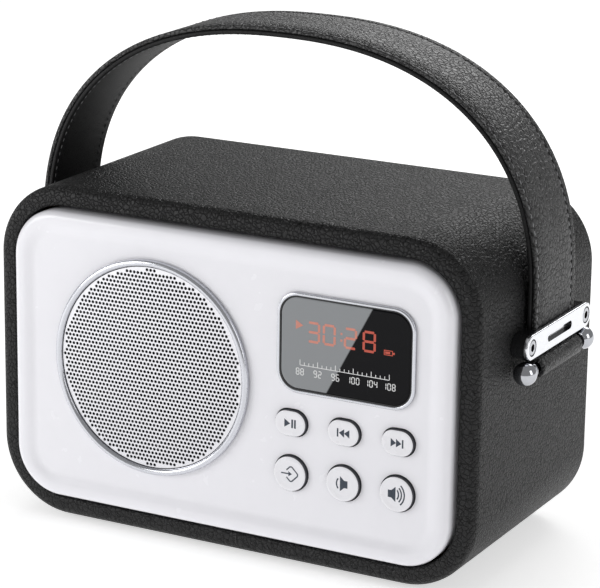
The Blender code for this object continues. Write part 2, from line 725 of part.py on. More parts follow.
def make_handle():
    """The strap and, through each of its rolled ends, a rod with a ball at either end."""
    outline = strap_outline()
    half = STRAP_WIDTH / 2
    ends = [facing_front(outline, 0, STRAP_Y + dy, 0) for dy in (-half, half)]
    roll_x = STRAP_OUTER_X - STRAP_THICKNESS + ROLL_RADIUS
    strap = loft("handle_strap", ends, leather(), origin=(0, STRAP_Y, ARCH_BASE_Z))
    neck = BALL_SPREAD - math.sqrt(BALL_RADIUS**2 - 2.6**2 * MM**2)
    shaft = [(0, BALL_SPREAD + BALL_RADIUS)]
    shaft += arc((0, BALL_SPREAD), BALL_RADIUS, 66, -54, 5)
    shaft += [(2.6 * MM, neck - 0.3 * MM), (3.1 * MM, neck - 0.5 * MM), (3.1 * MM, neck - 1.5 * MM)]
    shaft += [(ROD_RADIUS, neck - 1.5 * MM)]
    profile = shaft + [(radius, -height) for radius, height in reversed(shaft)]
    for side, sign in (("left", -1), ("right", 1)):
        place = (sign * roll_x, STRAP_Y, ROD_Z)
        tunnel = rod(
            f"{side}_rod_tunnel", ROD_RADIUS + GAP, STRAP_WIDTH + 10 * MM, place, FRONTWARD,
            leather(), segments=16, collection=CUTTERS,
        )
        carve(strap, tunnel)
        turned(f"{side}_handle_rod", profile, place, FRONTWARD, chrome(), 16)


def make_aerial():
    """A folding aerial on the back: swivelling foot, elbow and three sliding sections."""
    foot_y = REAR_PANEL_Y + GAP
    rings = []
    for y in (foot_y, foot_y + 1.3 * MM):
        rings.append(facing_front(round_outline(6 * MM), AERIAL_X, y, AERIAL_Z))
    lug = pill_outline(6.4 * MM, 3.0 * MM)
    for y in (foot_y + 1.3 * MM, AERIAL_Y + 3 * MM):
        rings.append(facing_front(lug, AERIAL_X, y, AERIAL_Z))
    foot = loft("aerial_foot", rings, black_plastic(), origin=(AERIAL_X, AERIAL_Y, AERIAL_Z))

    pivot = (AERIAL_X, AERIAL_Y, AERIAL_Z)
    end = AERIAL_LENGTH
    tube = [
        (0, 12 * MM), (1.9 * MM, 12 * MM), (1.9 * MM, end), (2.4 * MM, end), (2.4 * MM, 9 * MM),
        (BARREL_RADIUS, 8 * MM), *arc((0, 0), BARREL_RADIUS, 0, -90, 3),
    ]
    base_tube = turned("aerial_section_1", tube, pivot, LEFTWARD, chrome(), 16)
    slot = block(
        "aerial_fork_slot", (9.5 * MM, 12 * MM, 3.8 * MM), (AERIAL_X + 0.2 * MM, AERIAL_Y, AERIAL_Z),
        chrome(), collection=CUTTERS,
    )
    carve(base_tube, slot)

    start = 14 * MM
    end += 3 * MM
    tube = [
        (0, start + 4 * MM), (1.1 * MM, start + 4 * MM), (1.1 * MM, end), (1.6 * MM, end),
        (1.6 * MM, start), (0, start),
    ]
    middle = turned("aerial_section_2", tube, pivot, LEFTWARD, chrome(), 14)
    start += 6 * MM
    end += 0.5 * MM
    tip = [
        (0, end + 6 * MM), (1.6 * MM, end + 5.6 * MM), (2.3 * MM, end + 4.4 * MM), (2.3 * MM, end),
        (0.8 * MM, end), (0.8 * MM, start), (0, start),
    ]
    last = turned("aerial_section_3", tip, pivot, LEFTWARD, chrome(), 14)
    carried_by(last, middle)
    last.location = (0, 0, 0)
    last.rotation_euler = (0, 0, 0)
    carried_by(middle, base_tube)
    middle.location = (0, 0, 0)
    middle.rotation_euler = (0, 0, 0)
    carried_by(base_tube, foot)


def main():
    clear_scene()
    make_cabinet()
    make_front_panel()
    make_speaker()
    make_display()
    make_buttons()
    make_boards()
    make_sockets()
    make_power_slider()
    make_back()
    make_battery()
    make_feet()
    make_side_fittings()
    make_handle()
    make_aerial()


main()
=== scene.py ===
"""Portable radio in a leather cabinet with a carrying strap, standing in a plain studio.

Units are metres, +Z is up and the front faces -Y. Places and sizes of the working parts come from
the frame's own nodes; what is added here is the shape and the surface that people see.
"""
from __future__ import annotations

import logging
import math
from collections.abc import Callable, Iterable, Sequence
from dataclasses import dataclass, field
from enum import Enum
from functools import cache

import bmesh
import bpy
from mathutils import Matrix, Vector


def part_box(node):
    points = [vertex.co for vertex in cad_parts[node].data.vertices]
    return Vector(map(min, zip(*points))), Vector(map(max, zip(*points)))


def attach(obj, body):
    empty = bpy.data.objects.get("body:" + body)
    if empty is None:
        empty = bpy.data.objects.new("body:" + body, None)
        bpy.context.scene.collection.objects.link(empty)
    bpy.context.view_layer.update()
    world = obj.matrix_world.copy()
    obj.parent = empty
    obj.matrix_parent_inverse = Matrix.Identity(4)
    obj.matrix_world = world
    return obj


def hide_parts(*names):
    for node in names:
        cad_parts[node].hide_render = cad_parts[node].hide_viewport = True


log = logging.getLogger("radio")

MM = 0.001
FRONT = Vector((0, -1, 0))
BACK = Vector((0, 1, 0))


class Slot(Enum):
    """The record's material slots."""

    LEATHER = "leather"
    BOARD = "board"
    WHITE = "white_plastic"
    BUTTON = "button_plastic"
    CHROME = "chrome"
    MESH = "silver_mesh"
    WINDOW = "dark_window"
    BLACK = "black_plastic"
    STEEL = "steel"
    CIRCUIT = "circuit_board"
    PAPER = "speaker_paper"
    RUBBER = "rubber"
    WRAP = "cell_wrap"


class Side(Enum):
    """The two sides of the cabinet, with the sign of their X."""

    LEFT = -1
    RIGHT = 1

    @property
    def word(self) -> str:
        """The side's name as the nodes spell it."""
        return self.name.lower()


class Sheet:
    """The node tree of one finish, with short ways to lay out its textures."""

    def __init__(self, name: str) -> None:
        """Start a finish.

        Args:
            name: the material's name.
        """
        self.material = bpy.data.materials.new(name)
        self.material.use_nodes = True
        tree = self.material.node_tree
        self.nodes = tree.nodes
        self.links = tree.links
        self.shader = tree.nodes["Principled BSDF"]
        self.place = self.nodes.new("ShaderNodeTexCoord").outputs["Object"]

    def fix(self, **values: object) -> None:
        """Set plain values on the shader.

        Args:
            values: the sockets' names in lower case with underscores, and their values.
        """
        names = {socket.name.lower().replace(" ", "_"): socket for socket in self.shader.inputs}
        for name, value in values.items():
            if isinstance(value, tuple):
                value = (*value, 1.0)
            names[name].default_value = value

    def wire(self, source: bpy.types.NodeSocket, name: str) -> None:
        """Join a value to one of the shader's sockets."""
        self.links.new(source, self.shader.inputs[name])

    def stretched(self, scale: tuple[float, float, float]) -> bpy.types.NodeSocket:
        """Return the piece's own coordinates, stretched along its axes."""
        node = self.nodes.new("ShaderNodeMapping")
        node.inputs["Scale"].default_value = scale
        self.links.new(self.place, node.inputs["Vector"])
        return node.outputs["Vector"]

    def noise(
        self, size: float, detail: float = 3.0, place: bpy.types.NodeSocket | None = None
    ) -> bpy.types.NodeSocket:
        """Return cloudy noise.

        Args:
            size: the width of one cloud.
            detail: how many finer layers it has.
            place: the coordinates, or None for the piece's own.

        Returns:
            A value of about 0.3 to 0.7.
        """
        node = self.nodes.new("ShaderNodeTexNoise")
        node.inputs["Scale"].default_value = 1 / size
        node.inputs["Detail"].default_value = detail
        self.links.new(place or self.place, node.inputs["Vector"])
        return node.outputs["Fac"]

    def shifted(self, size: float, reach: float) -> bpy.types.NodeSocket:
        """Return coordinates that wander, so that cells get uneven edges."""
        cloud = self.nodes.new("ShaderNodeTexNoise")
        cloud.inputs["Scale"].default_value = 1 / size
        self.links.new(self.place, cloud.inputs["Vector"])
        move = self.nodes.new("ShaderNodeVectorMath")
        move.operation = "MULTIPLY_ADD"
        move.inputs[1].default_value = (reach, reach, reach)
        self.links.new(cloud.outputs["Color"], move.inputs[0])
        self.links.new(self.place, move.inputs[2])
        return move.outputs["Vector"]

    def cells(self, size: float, place: bpy.types.NodeSocket) -> bpy.types.NodeSocket:
        """Return how deep inside a cell each point is: 0 along the edges, about 0.4 in the middles."""
        node = self.nodes.new("ShaderNodeTexVoronoi")
        node.feature = "DISTANCE_TO_EDGE"
        node.inputs["Scale"].default_value = 1 / size
        self.links.new(place, node.inputs["Vector"])
        return node.outputs["Distance"]

    def sum(
        self, first: bpy.types.NodeSocket, second: bpy.types.NodeSocket, share: float
    ) -> bpy.types.NodeSocket:
        """Return first plus a share of second."""
        node = self.nodes.new("ShaderNodeMath")
        node.operation = "MULTIPLY_ADD"
        node.inputs[1].default_value = share
        self.links.new(second, node.inputs[0])
        self.links.new(first, node.inputs[2])
        return node.outputs["Value"]

    def between(
        self, value: bpy.types.NodeSocket, start: float, end: float, low: float, high: float
    ) -> bpy.types.NodeSocket:
        """Return value carried from start..end to low..high."""
        node = self.nodes.new("ShaderNodeMapRange")
        for name, number in (("From Min", start), ("From Max", end), ("To Min", low), ("To Max", high)):
            node.inputs[name].default_value = number
        self.links.new(value, node.inputs["Value"])
        return node.outputs["Result"]

    def tint(
        self, value: bpy.types.NodeSocket, stops: Sequence[tuple[float, tuple[float, float, float]]]
    ) -> bpy.types.NodeSocket:
        """Return a colour for a value, from places and colours in rising order."""
        node = self.nodes.new("ShaderNodeValToRGB")
        ramp = node.color_ramp
        for index, (place, colour) in enumerate(stops):
            stop = ramp.elements[index] if index < 2 else ramp.elements.new(place)
            stop.position = place
            stop.color = (*colour, 1)
        self.links.new(value, node.inputs["Fac"])
        return node.outputs["Color"]

    def side_of(self, high: Vector, low: Vector, soft: float) -> bpy.types.NodeSocket:
        """Return 0 on the left of a slanted line across the front and 1 on its right.

        Args:
            high: the line's upper end.
            low: its lower end.
            soft: the width over which it changes.

        Returns:
            A value from 0 to 1.
        """
        run = (high - low).normalized()
        across = Vector((run.z, 0, -run.x))
        node = self.nodes.new("ShaderNodeVectorMath")
        node.operation = "DOT_PRODUCT"
        node.inputs[1].default_value = across
        self.links.new(self.place, node.inputs[0])
        level = across.dot(high)
        return self.between(node.outputs["Value"], level - soft / 2, level + soft / 2, 0, 1)

    def bump(self, height: bpy.types.NodeSocket, depth: float) -> None:
        """Raise the surface by a height of 0 to 1 times depth."""
        node = self.nodes.new("ShaderNodeBump")
        node.inputs["Strength"].default_value = 1.0
        node.inputs["Distance"].default_value = depth
        self.links.new(height, node.inputs["Height"])
        self.wire(node.outputs["Normal"], "Normal")


@dataclass(frozen=True)
class Leather:
    """Pebbled artificial leather."""

    name: str
    tone: float
    pebble: float
    depth: float
    roughness: float = 0.42
    gloss: float = 0.3

    def made(self) -> bpy.types.Material:
        """Build the material: rounded pebbles with finer wrinkles, with painted shade darkening the creases.
        """
        sheet = Sheet(self.name)
        wander = sheet.shifted(self.pebble * 1.3, self.pebble * 0.9)
        edges = sheet.cells(self.pebble, wander)
        fine = sheet.cells(self.pebble * 0.42, wander)
        lumps = sheet.between(edges, 0, 0.2, 0, 1)
        relief = sheet.sum(sheet.sum(lumps, fine, 0.35), sheet.noise(self.pebble * 0.6), 0.25)
        base = self.tone
        # painted shade: the colour falls to about a third in the creases between pebbles
        painted_crease_shade = [(0.0, (base * 0.35,) * 3), (0.3, (base, base, base * 1.05))]
        sheet.wire(sheet.tint(lumps, painted_crease_shade), "Base Color")
        sheet.wire(sheet.between(fine, 0, 0.4, self.roughness + 0.12, self.roughness - 0.03), "Roughness")
        sheet.wire(sheet.between(lumps, 0, 0.4, self.gloss * 0.25, self.gloss), "Specular IOR Level")
        sheet.bump(relief, self.depth)
        return sheet.material


@dataclass(frozen=True)
class Plastic:
    """Moulded plastic, glossy or grained."""

    name: str
    colour: tuple[float, float, float]
    roughness: float = 0.3
    grain: float = 0.0
    coat: float = 0.0

    def made(self) -> bpy.types.Material:
        """Build the material with a faint unevenness, and a spark-eroded grain if it has one."""
        sheet = Sheet(self.name)
        cloud = sheet.noise(9 * MM)
        tones = [tuple(channel * k for channel in self.colour) for k in (0.985, 1.0)]
        sheet.wire(sheet.tint(cloud, [(0.3, tones[0]), (0.7, tones[1])]), "Base Color")
        rough = sheet.between(cloud, 0.3, 0.7, self.roughness * 0.9, self.roughness * 1.1)
        sheet.wire(rough, "Roughness")
        if self.grain:
            sheet.bump(sheet.noise(self.grain, 2.0), self.grain * 0.35)
        sheet.fix(coat_weight=self.coat, coat_roughness=0.06)
        return sheet.material


@dataclass(frozen=True)
class Metal:
    """Polished, plated or brushed metal."""

    name: str
    colour: tuple[float, float, float]
    roughness: float = 0.1
    brushed: tuple[float, float, float] | None = None

    def made(self) -> bpy.types.Material:
        """Build the material; brushing is noise drawn out along one direction."""
        sheet = Sheet(self.name)
        place = sheet.stretched(self.brushed) if self.brushed else sheet.place
        streak = sheet.noise(1.2 * MM, 4.0, place)
        spread = 0.5 if self.brushed else 0.15
        low, high = self.roughness * (1 - spread), self.roughness * (1 + spread)
        sheet.wire(sheet.between(streak, 0.3, 0.7, low, high), "Roughness")
        tones = [tuple(channel * k for channel in self.colour) for k in (0.96, 1.0)]
        sheet.wire(sheet.tint(streak, [(0.35, tones[0]), (0.65, tones[1])]), "Base Color")
        sheet.fix(metallic=1.0)
        return sheet.material


@dataclass(frozen=True)
class SmokedWindow:
    """A dark window with a painted reflection: pale grey on the left of a slanted line, black on its right.
    """

    name: str
    high: Vector
    low: Vector
    painted_reflection_tone: tuple[float, float, float] = (0.27, 0.28, 0.29)
    dark: tuple[float, float, float] = (0.003, 0.003, 0.004)

    def made(self) -> bpy.types.Material:
        """Build the glossy material; the pale part left of the slanted line is a painted reflection."""
        sheet = Sheet(self.name)
        # side is 0 under the painted reflection, left of the line, and 1 on the black right
        side = sheet.side_of(self.high, self.low, 0.5 * MM)
        sheet.wire(sheet.tint(side, [(0.0, self.painted_reflection_tone), (1.0, self.dark)]), "Base Color")
        sheet.wire(sheet.between(sheet.noise(20 * MM), 0.3, 0.7, 0.1, 0.14), "Roughness")
        sheet.fix(specular_ior_level=0.12)
        return sheet.material


@dataclass(frozen=True)
class Glow:
    """Light from the display's characters, paler where the painted reflection lies on the window."""

    name: str
    high: Vector
    low: Vector
    painted_reflection_tone: tuple[float, float, float]
    deep: tuple[float, float, float]

    def made(self) -> bpy.types.Material:
        """Build the glowing material."""
        sheet = Sheet(self.name)
        side = sheet.side_of(self.high, self.low, 0.5 * MM)
        # paler glow colour under the painted reflection, deeper red on the right
        colour = sheet.tint(side, [(0.0, self.painted_reflection_tone), (1.0, self.deep)])
        sheet.wire(colour, "Emission Color")
        flicker = sheet.between(sheet.noise(1.5 * MM), 0.3, 0.7, 0.92, 1.05)
        sheet.wire(flicker, "Emission Strength")
        sheet.fix(base_color=(0.02, 0.01, 0.01), roughness=0.5)
        return sheet.material


@dataclass(frozen=True)
class CircuitBoard:
    """Green lacquered board with copper tracks."""

    name: str

    def made(self) -> bpy.types.Material:
        """Build the material; the tracks follow the edges of a cell pattern."""
        sheet = Sheet(self.name)
        cell = sheet.nodes.new("ShaderNodeTexVoronoi")
        cell.distance = "MANHATTAN"
        cell.inputs["Scale"].default_value = 1 / (7 * MM)
        sheet.links.new(sheet.place, cell.inputs["Vector"])
        green, track = (0.015, 0.11, 0.045), (0.05, 0.22, 0.08)
        stops = [(0.0, green), (0.42, green), (0.5, track), (0.58, green)]
        sheet.wire(sheet.tint(cell.outputs["Distance"], stops), "Base Color")
        sheet.bump(cell.outputs["Distance"], 0.05 * MM)
        sheet.fix(roughness=0.35)
        return sheet.material


@dataclass(frozen=True)
class Timber:
    """Pressed fibre board."""

    name: str

    def made(self) -> bpy.types.Material:
        """Build the material with short fibres."""
        sheet = Sheet(self.name)
        fibre = sheet.noise(2 * MM, 5.0, sheet.stretched((0.3, 1, 1)))
        stops = [(0.3, (0.27, 0.17, 0.09)), (0.7, (0.5, 0.36, 0.22))]
        sheet.wire(sheet.tint(fibre, stops), "Base Color")
        sheet.bump(fibre, 0.1 * MM)
        sheet.fix(roughness=0.75)
        return sheet.material


@dataclass(frozen=True)
class StudioFloor:
    """Pale studio paper, a little lit of its own so that shadows stay light."""

    name: str
    glow: float

    def made(self) -> bpy.types.Material:
        """Build the paper's material."""
        sheet = Sheet(self.name)
        fibre = sheet.noise(6 * MM)
        sheet.wire(sheet.tint(fibre, [(0.3, (0.9, 0.9, 0.9)), (0.7, (0.93, 0.93, 0.93))]), "Base Color")
        sheet.fix(roughness=0.9, emission_color=(1.0, 1.0, 1.0), emission_strength=self.glow)
        return sheet.material


class Paint:
    """Every finish, made once and shared."""

    def __init__(self, high: Vector, low: Vector) -> None:
        """Make the finishes.

        Args:
            high: upper end of the edge of the painted reflection across the display's window.
            low: its lower end.
        """
        self.leather = Leather("black_leather", 0.008, 1.8 * MM, 0.28 * MM, 0.4, 0.34).made()
        self.strap = Leather("strap_leather", 0.011, 2.3 * MM, 0.29 * MM, 0.4, 0.75).made()
        self.lining = Leather("strap_lining", 0.008, 0.8 * MM, 0.03 * MM, 0.5).made()
        self.dark_thread = Plastic("dark_thread", (0.03, 0.03, 0.032), 0.6, 0.3 * MM).made()
        self.light_thread = Plastic("light_thread", (0.26, 0.26, 0.27), 0.6, 0.3 * MM).made()
        # painted shade: near-black beads for the shade in the rear row's stitch holes
        self.stitch_hole = Plastic("stitch_hole", (0.002, 0.002, 0.002), 0.9).made()
        self.white = Plastic("white_plastic", (0.85, 0.845, 0.885), 0.25, coat=0.25).made()
        # painted shade: dark grey for the walls of the panel's openings and the sides of the button caps,
        # which are white plastic
        self.painted_shade = Plastic("panel_cut_edge", (0.05, 0.05, 0.06), 0.6).made()
        self.button = Plastic("button_plastic", (0.83, 0.825, 0.86), 0.28, coat=0.2).made()
        self.ink = Plastic("slate_ink", (0.028, 0.04, 0.062), 0.5).made()
        self.print = Plastic("white_print", (0.75, 0.75, 0.75), 0.5).made()
        self.black = Plastic("black_plastic", (0.012, 0.012, 0.013), 0.42, 0.7 * MM).made()
        self.gloss = Plastic("gloss_black_plastic", (0.010, 0.010, 0.011), 0.2).made()
        self.chrome = Metal("chrome", (0.50, 0.51, 0.54), 0.07).made()
        self.plate = Metal("polished_plate", (0.82, 0.83, 0.86), 0.16).made()
        self.satin = Metal("satin_trim", (0.62, 0.63, 0.67), 0.2).made()
        self.mesh = Metal("silver_mesh", (0.76, 0.76, 0.79), 0.36).made()
        self.steel = Metal("steel", (0.52, 0.53, 0.55), 0.28, (1, 1, 0.1)).made()
        # the display window, with a painted reflection on its left part
        self.window = SmokedWindow("dark_window", high, low).made()
        # first colour: the paler glow under the painted reflection on the window
        self.glow = Glow("display_glow", high, low, (0.52, 0.20, 0.15), (0.45, 0.06, 0.03)).made()
        self.circuit = CircuitBoard("circuit_board").made()
        self.board = Timber("fibre_board").made()
        self.paper = Plastic("speaker_paper", (0.006, 0.006, 0.007), 0.9, 0.8 * MM).made()
        self.rubber = Plastic("rubber", (0.015, 0.015, 0.015), 0.7, 0.5 * MM).made()
        self.wrap = Plastic("cell_wrap", (0.02, 0.11, 0.34), 0.35, coat=0.4).made()

    def for_slot(self, slot: Slot) -> bpy.types.Material:
        """Return the finish of a node that is shown as it comes."""
        table = {
            Slot.LEATHER: self.leather, Slot.BOARD: self.board, Slot.WHITE: self.white,
            Slot.BUTTON: self.button, Slot.CHROME: self.chrome, Slot.MESH: self.mesh,
            Slot.WINDOW: self.window, Slot.BLACK: self.black, Slot.STEEL: self.steel,
            Slot.CIRCUIT: self.circuit, Slot.PAPER: self.paper, Slot.RUBBER: self.rubber,
            Slot.WRAP: self.wrap,
        }
        return table[slot]


@dataclass(frozen=True)
class Hole:
    """An opening through a plate: a rounded rectangle, a pill, a circle or a hexagon."""

    x: float
    z: float
    width: float
    height: float
    corner: float = 0.0
    round_steps: int = 0

    def outline(self, form: "Form", level: float) -> list[bmesh.types.BMEdge]:
        """Draw the opening's edge on a form.

        Args:
            form: the form that is being made.
            level: the Y of the surface it is cut in.

        Returns:
            The edges of the opening.
        """
        stand = Matrix.Translation((self.x, level, self.z)) @ Matrix.Rotation(math.radians(90), 4, "X")
        if self.round_steps:
            made = bmesh.ops.create_circle(
                form.bm, cap_ends=False, radius=self.width / 2, segments=self.round_steps, matrix=stand
            )
            return list({edge for vert in made["verts"] for edge in vert.link_edges})
        sized = stand @ Matrix.Diagonal((self.width, self.height, 1, 1))
        made = bmesh.ops.create_grid(form.bm, x_segments=1, y_segments=1, size=0.5, matrix=sized)
        verts = made["verts"]
        if self.corner:
            rounded = bmesh.ops.bevel(
                form.bm, geom=verts, offset=self.corner, offset_type="OFFSET", segments=8,
                profile=0.5, affect="VERTICES", material=-1,
            )
            face = next(iter(rounded["verts"][0].link_faces))
        else:
            face = next(iter(verts[0].link_faces))
        edges = list(face.edges)
        bmesh.ops.delete(form.bm, geom=[face], context="FACES_ONLY")
        return edges


class Form:
    """A mesh under way: operators shape it, and one dressed object comes out."""

    def __init__(self, name: str) -> None:
        """Start an empty form.

        Args:
            name: the name of the finished piece.
        """
        self.name = name
        self.bm = bmesh.new()

    def plate(
        self, width: float, height: float, front: float, back: float, corner: float, steps: int = 10
    ) -> None:
        """Stand a slab with rounded corners in the XZ plane about the origin.

        Args:
            width: its size along X.
            height: its size along Z.
            front: the Y of its front face.
            back: the Y of its back face.
            corner: the radius of its four corners, or 0.
            steps: the number of faces round each corner.
        """
        verts = bmesh.ops.create_cube(self.bm, size=1)["verts"]
        bmesh.ops.scale(self.bm, vec=(width, back - front, height), verts=verts)
        bmesh.ops.translate(self.bm, vec=(0, (front + back) / 2, 0), verts=verts)
        if corner:
            edges = {edge for vert in verts for edge in vert.link_edges}
            deep = [e for e in edges if abs(e.verts[0].co.y - e.verts[1].co.y) > (back - front) / 2]
            bmesh.ops.bevel(
                self.bm, geom=deep, offset=corner, offset_type="OFFSET", segments=steps,
                profile=0.5, affect="EDGES", material=-1,
            )
            bmesh.ops.remove_doubles(self.bm, verts=self.bm.verts, dist=0.03 * MM)

    def facing(self, way: Vector) -> bmesh.types.BMFace:
        """Return the largest face that looks a given way."""
        self.bm.normal_update()
        looking = [face for face in self.bm.faces if face.normal.dot(way) > 0.999]
        return max(looking, key=lambda face: face.calc_area())

    def soften(self, way: Vector, radius: float, steps: int = 4) -> None:
        """Round the rim of the face that looks a given way."""
        bmesh.ops.bevel(
            self.bm, geom=list(self.facing(way).edges), offset=radius, offset_type="OFFSET",
            segments=steps, profile=0.5, affect="EDGES", material=-1,
        )

    def terrace(
        self, way: Vector, steps: Iterable[tuple[float, float]], coat: int = 0
    ) -> bmesh.types.BMFace:
        """Draw the face that looks a given way inward in steps.

        Args:
            way: the direction of the face.
            steps: for each step, how far inward from the last and how far forward.
            coat: which of the piece's finishes the new faces have.

        Returns:
            The innermost face.
        """
        face = self.facing(way)
        for inset, rise in steps:
            if inset:
                bmesh.ops.inset_region(self.bm, faces=[face], thickness=inset, use_even_offset=True)
            else:
                face = bmesh.ops.extrude_discrete_faces(self.bm, faces=[face])["faces"][0]
            bmesh.ops.translate(self.bm, vec=way * rise, verts=face.verts)
            for edge in face.edges:
                for beside in edge.link_faces:
                    if beside is not face:
                        beside.material_index = coat
        return face

    def open(self, way: Vector) -> None:
        """Take away the face that looks a given way."""
        bmesh.ops.delete(self.bm, geom=[self.facing(way)], context="FACES_ONLY")

    def pierce(self, way: Vector, holes: Sequence[Hole], depth: float, coat: int = 0) -> None:
        """Cut openings in the face that looks a given way, each with a wall behind it.

        Args:
            way: the direction of the face, front or back.
            holes: the openings.
            depth: how deep their walls go.
            coat: which of the piece's finishes the walls have.
        """
        face = self.facing(way)
        level = face.verts[0].co.y
        rim = list(face.edges)
        bmesh.ops.delete(self.bm, geom=[face], context="FACES_ONLY")
        loops = [hole.outline(self, level) for hole in holes]
        edges = rim + [edge for loop in loops for edge in loop]
        bmesh.ops.triangle_fill(self.bm, use_beauty=True, edges=edges, normal=way)
        for loop in loops:
            wall = bmesh.ops.extrude_edge_only(self.bm, edges=loop)["geom"]
            verts = [item for item in wall if isinstance(item, bmesh.types.BMVert)]
            bmesh.ops.translate(self.bm, vec=-way * depth, verts=verts)
            for item in wall:
                if isinstance(item, bmesh.types.BMFace):
                    item.material_index = coat

    def turned(self, profile: Sequence[tuple[float, float]], turns: int = 48, ring: bool = False) -> None:
        """Spin a profile about the Y axis.

        Args:
            profile: points as (radius, distance forward along -Y).
            turns: the number of faces round it.
            ring: whether the last point joins the first.
        """
        points = [self.bm.verts.new((radius, -ahead, 0)) for radius, ahead in profile]
        pairs = list(zip(points, points[1:]))
        if ring:
            pairs.append((points[-1], points[0]))
        edges = [self.bm.edges.new(pair) for pair in pairs]
        bmesh.ops.spin(
            self.bm, geom=points + edges, cent=(0, 0, 0), axis=(0, 1, 0), dvec=(0, 0, 0),
            angle=math.tau, steps=turns, use_merge=True,
        )

    def wrapped(self, along: int, around: int, place: Callable[[float, float], Vector]) -> None:
        """Lay a fine grid over a curved surface.

        Args:
            along: the number of faces one way.
            around: the number of faces the other way.
            place: gives the point for two shares from 0 to 1.
        """
        made = bmesh.ops.create_grid(self.bm, x_segments=along, y_segments=around, size=1)
        for vert in made["verts"]:
            vert.co = place((vert.co.x + 1) / 2, (vert.co.y + 1) / 2)

    def moved(self, matrix: Matrix) -> "Form":
        """Carry everything made so far to its place."""
        bmesh.ops.transform(self.bm, matrix=matrix, verts=self.bm.verts)
        return self

    def take(self, other: "Form") -> None:
        """Add another form's mesh to this one."""
        mesh = bpy.data.meshes.new(other.name)
        other.bm.to_mesh(mesh)
        other.bm.free()
        self.bm.from_mesh(mesh)
        bpy.data.meshes.remove(mesh)

    def dressed(
        self, finish: bpy.types.Material, slot: Slot, body: str = "cabinet",
        replaces: Sequence[str] = (), crease: float = 35.0, second: bpy.types.Material | None = None,
    ) -> bpy.types.Object:
        """Turn the form into an object of the radio.

        Args:
            finish: its material.
            slot: the material slot it belongs to; not used.
            body: the body it rides on.
            replaces: the nodes it is shown for.
            crease: edges sharper than this many degrees stay sharp.
            second: the finish of the faces that were given coat 1.

        Returns:
            The object.
        """
        bmesh.ops.remove_doubles(self.bm, verts=self.bm.verts, dist=0.002 * MM)
        bmesh.ops.recalc_face_normals(self.bm, faces=self.bm.faces)
        limit = math.radians(crease)
        for face in self.bm.faces:
            face.smooth = True
        for edge in self.bm.edges:
            edge.smooth = len(edge.link_faces) == 2 and edge.calc_face_angle() < limit
        mesh = bpy.data.meshes.new(self.name)
        self.bm.to_mesh(mesh)
        self.bm.free()
        mesh.materials.append(finish)
        if second:
            mesh.materials.append(second)
        piece = bpy.data.objects.new(self.name, mesh)
        bpy.context.scene.collection.objects.link(piece)
        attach(piece, body)
        if replaces:
            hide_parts(*replaces)
        return piece


@cache
def extent(node: str) -> tuple[Vector, Vector]:
    """Return the lowest and highest corner of a node, measured once."""
    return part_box(node)


def middle(node: str) -> Vector:
    """Return the middle of a node's box."""
    low, high = extent(node)
    return (low + high) / 2


def arc(x: float, y: float, radius: float, start: float, end: float, steps: int) -> list[tuple[float, float]]:
    """Return points on an arc, angles in degrees."""
    turns = [math.radians(start + (end - start) * i / steps) for i in range(steps + 1)]
    return [(x + radius * math.cos(t), y + radius * math.sin(t)) for t in turns]


@dataclass
class Cabinet:
    """The sleeve of leather with its turned-in ends, the seam underneath and the feet."""

    paint: Paint
    corner: float = 30 * MM
    front_edge: float = 4.0 * MM
    rear_edge: float = 2.5 * MM
    lip: float = 7.6 * MM
    lip_depth: float = 8.5 * MM
    seam_x: float = 3.7 * MM

    def build(self) -> list[bpy.types.Object]:
        """Build the cabinet's outside."""
        return [self.wrap(), self.seam(), *self.feet()]

    def wrap(self) -> bpy.types.Object:
        """Build the leather sleeve, rounded at both ends and turned in behind the front panel."""
        low, high = extent("leather_wrap")
        size = high - low
        form = Form("cabinet_leather")
        form.plate(size.x, size.z, low.y, high.y, self.corner, 24)
        for way, edge, depth in (
            (FRONT, self.front_edge, self.lip_depth), (BACK, self.rear_edge, self.lip_depth / 2)
        ):
            form.soften(way, edge, 6)
            flat = self.lip - edge - 0.8 * MM
            form.terrace(way, [(flat, 0), (0.5 * MM, -0.15 * MM), (0.3 * MM, -0.5 * MM)])
            form.terrace(way, [(0, -depth / 2), (0, -depth / 2)])
            form.open(way)
        form.moved(Matrix.Translation((0, 0, (low.z + high.z) / 2)))
        return form.dressed(self.paint.leather, Slot.LEATHER, replaces=["leather_wrap"], crease=60)

    def seam(self) -> bpy.types.Object:
        """Build the butt seam of the leather on the underside of the front border."""
        low, _ = extent("leather_wrap")
        form = Form("leather_seam")
        form.plate(0.35 * MM, 3.4 * MM, low.y - 0.12 * MM, low.y + 1.2 * MM, 0.15 * MM, 3)
        form.moved(Matrix.Translation((self.seam_x, 0, low.z + 5.4 * MM)))
        return form.dressed(self.paint.gloss, Slot.LEATHER)

    def feet(self) -> list[bpy.types.Object]:
        """Build the four rubber feet with rounded rims."""
        feet = []
        for side in Side:
            for end in ("front", "rear"):
                node = f"{side.word}_{end}_foot"
                low, high = extent(node)
                radius, height = (high.x - low.x) / 2, high.z - low.z
                form = Form(node + "_pad")
                rim = arc(radius - 0.6 * MM, 0.6 * MM, 0.6 * MM, 0, -90, 4)
                form.turned([(0, height), (radius, height), *rim, (0, 0)], 40)
                centre = Vector((middle(node).x, middle(node).y, low.z))
                upright = Matrix.Rotation(math.radians(-90), 4, "X")
                form.moved(Matrix.Translation(centre) @ upright)
                feet.append(form.dressed(self.paint.rubber, Slot.RUBBER, replaces=[node]))
        return feet


